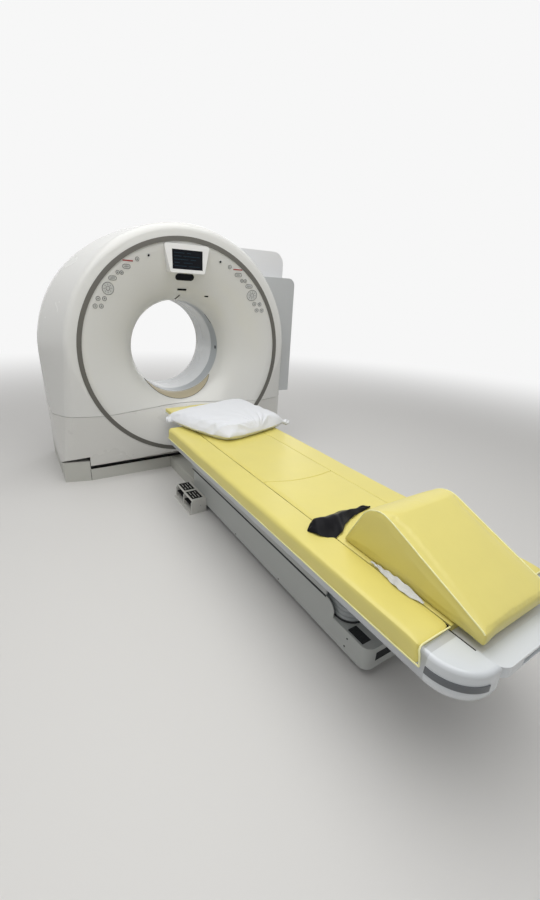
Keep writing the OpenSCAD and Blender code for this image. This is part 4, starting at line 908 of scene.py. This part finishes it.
LUMPS = (("pillow_knot", (0.424, -1.288, 0.033), (0.030, 0.022, 0.017), 0.008),
         ("pillow_corner", (-0.292, -0.890, 0.024), (0.045, 0.048, 0.022), 0.016))
for name, place, size, crumple in LUMPS:
    lump = bmesh.new()
    place = Matrix.LocRotScale(Vector(place) + Vector((0, 0, PAD_TOP)), None, size)
    bmesh.ops.create_icosphere(lump, subdivisions=5, radius=1, matrix=place)
    for point in lump.verts:
        point.co += point.normal * crumple * noise.noise(point.co / (crumple * 2))
        point.co.z = max(point.co.z, LAID_Z)
    for face in lump.faces:
        face.smooth = True
    made = add_piece(name, lump, "cradle", cotton)

# ---------------------------------------------------------------- straps
# A folded black body strap lies crumpled at the wedge, and the pale loose end of another one
# is tucked between the wedge and the side pad.
STRAP_THICK = 0.0016


def laid_strap(name, near_edge, far_edge, cells, crumple, material):
    """A thin sheet between two edges of points, crumpled by height waves; gives mesh and area."""
    mesh = bmesh.new()
    bmesh.ops.create_grid(mesh, x_segments=cells[0], y_segments=cells[1], size=1)
    for point in mesh.verts:
        along = (point.co.x + 1) / 2 * (len(near_edge) - 1)
        index = min(int(along), len(near_edge) - 2)
        part = along - index
        low = Vector(near_edge[index]).lerp(Vector(near_edge[index + 1]), part)
        high = Vector(far_edge[index]).lerp(Vector(far_edge[index + 1]), part)
        across = (point.co.y + 1) / 2
        spot = low.lerp(high, across)
        spot.z += crumple(point.co.x, across)
        point.co = spot
    area = sum(face.calc_area() for face in mesh.faces)
    smooth_faces(mesh, 60)
    made = add_piece(name, mesh, "cradle", material)
    wall = made.modifiers.new("cloth", "SOLIDIFY")
    wall.thickness = STRAP_THICK
    wall.offset = 0
    return made, area


strap_black = finish("strap_black", (0.006, 0.006, 0.008), 0.33, mottle=0.2, mottle_size=0.03, grain=0.4,
                     specular=0.1)
strap_grey = finish("strap_grey", (0.62, 0.63, 0.63), 0.4, mottle=0.15, mottle_size=0.03, grain=0.4)


def body_folds(along, across):
    """The body strap's tent-like folds, higher in its middle and over its left end."""
    ridge = 0.045 * (1 - abs(2 * across - 1) ** 1.5) * (0.75 - 0.35 * along)
    ridge *= min(1, (1 + along) / 0.28) * min(1, (1 - along) / 0.6)
    return ridge + 0.014 * noise.noise(Vector((along * 3.2, across * 2.6, 5)))


near = [(-0.283, -2.494, 0.566), (-0.262, -2.545, 0.564), (-0.213, -2.582, 0.564),
        (-0.165, -2.570, 0.566), (-0.120, -2.535, 0.568), (-0.06, -2.505, 0.568),
        (0.02, -2.480, 0.568), (0.095, -2.470, 0.566)]
far = [(-0.281, -2.486, 0.570), (-0.235, -2.447, 0.566), (-0.170, -2.430, 0.565),
       (-0.12, -2.435, 0.565), (-0.07, -2.440, 0.565), (-0.01, -2.445, 0.565),
       (0.05, -2.449, 0.565), (0.100, -2.455, 0.566)]
made, area = laid_strap("body_strap_black", near, far, (44, 16), body_folds, strap_black)
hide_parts("body_strap")


def tail_folds(along, across):
    """Sharp little creases along the loose end."""
    return 0.004 * noise.noise(Vector((along * 6, across * 3, 9))) + 0.003 * abs(math.sin(along * 9))


near = [(-0.203, -2.765, 0.5640), (-0.207, -2.800, 0.5640), (-0.219, -2.850, 0.5640),
        (-0.228, -2.900, 0.5640), (-0.228, -2.950, 0.5640), (-0.215, -3.003, 0.5640)]
far = [(-0.199, -2.765, 0.566), (-0.200, -2.800, 0.569), (-0.201, -2.850, 0.575),
       (-0.202, -2.900, 0.578), (-0.203, -2.950, 0.576), (-0.208, -3.006, 0.5655)]
made, area = laid_strap("strap_tail_grey", near, far, (40, 8), tail_folds, strap_grey)
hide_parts("strap_tail")

# ---------------------------------------------------------------- foot switch
# A cream moulded guard over two rubber pedals. A dark plate with plain light lines lies on the
# guard over each pedal.
switch_cream = finish("switch_cream", (0.58, 0.575, 0.54), 0.4, mottle=0.04, grain=0.3)
pedal_black = finish("pedal_black", (0.010, 0.010, 0.011), 0.6, mottle=0.15, mottle_size=0.02,
                     grain=0.4, specular=0.12)
dress(switch_cream, "foot_switch")
dress(pedal_black, "pedal_raise", "pedal_lower")
PLATE_TOP = 0.1045
PLATE_STARTS = (-1.240, -1.095)
LINE_HALF = 0.0022
LINE_SPANS = ((-0.266, 0.022, 0.052), (-0.266, 0.070, 0.112), (-0.245, 0.030, 0.100),
              (-0.225, 0.022, 0.066), (-0.225, 0.084, 0.112))
plates, lines = bmesh.new(), bmesh.new()
for start in PLATE_STARTS:
    bar(plates, (-0.284, start + 0.008, PLATE_TOP - 0.0008), (-0.206, start + 0.128, PLATE_TOP),
        edge=0.0003)
    for x, low, high in LINE_SPANS:
        bar(lines, (x - LINE_HALF, start + low, PLATE_TOP - 0.0002),
            (x + LINE_HALF, start + high, PLATE_TOP + 0.0003), edge=0.0002)
add_piece("switch_plates", plates, "base", pedal_black)
add_piece("switch_lines", lines, "base", switch_cream)
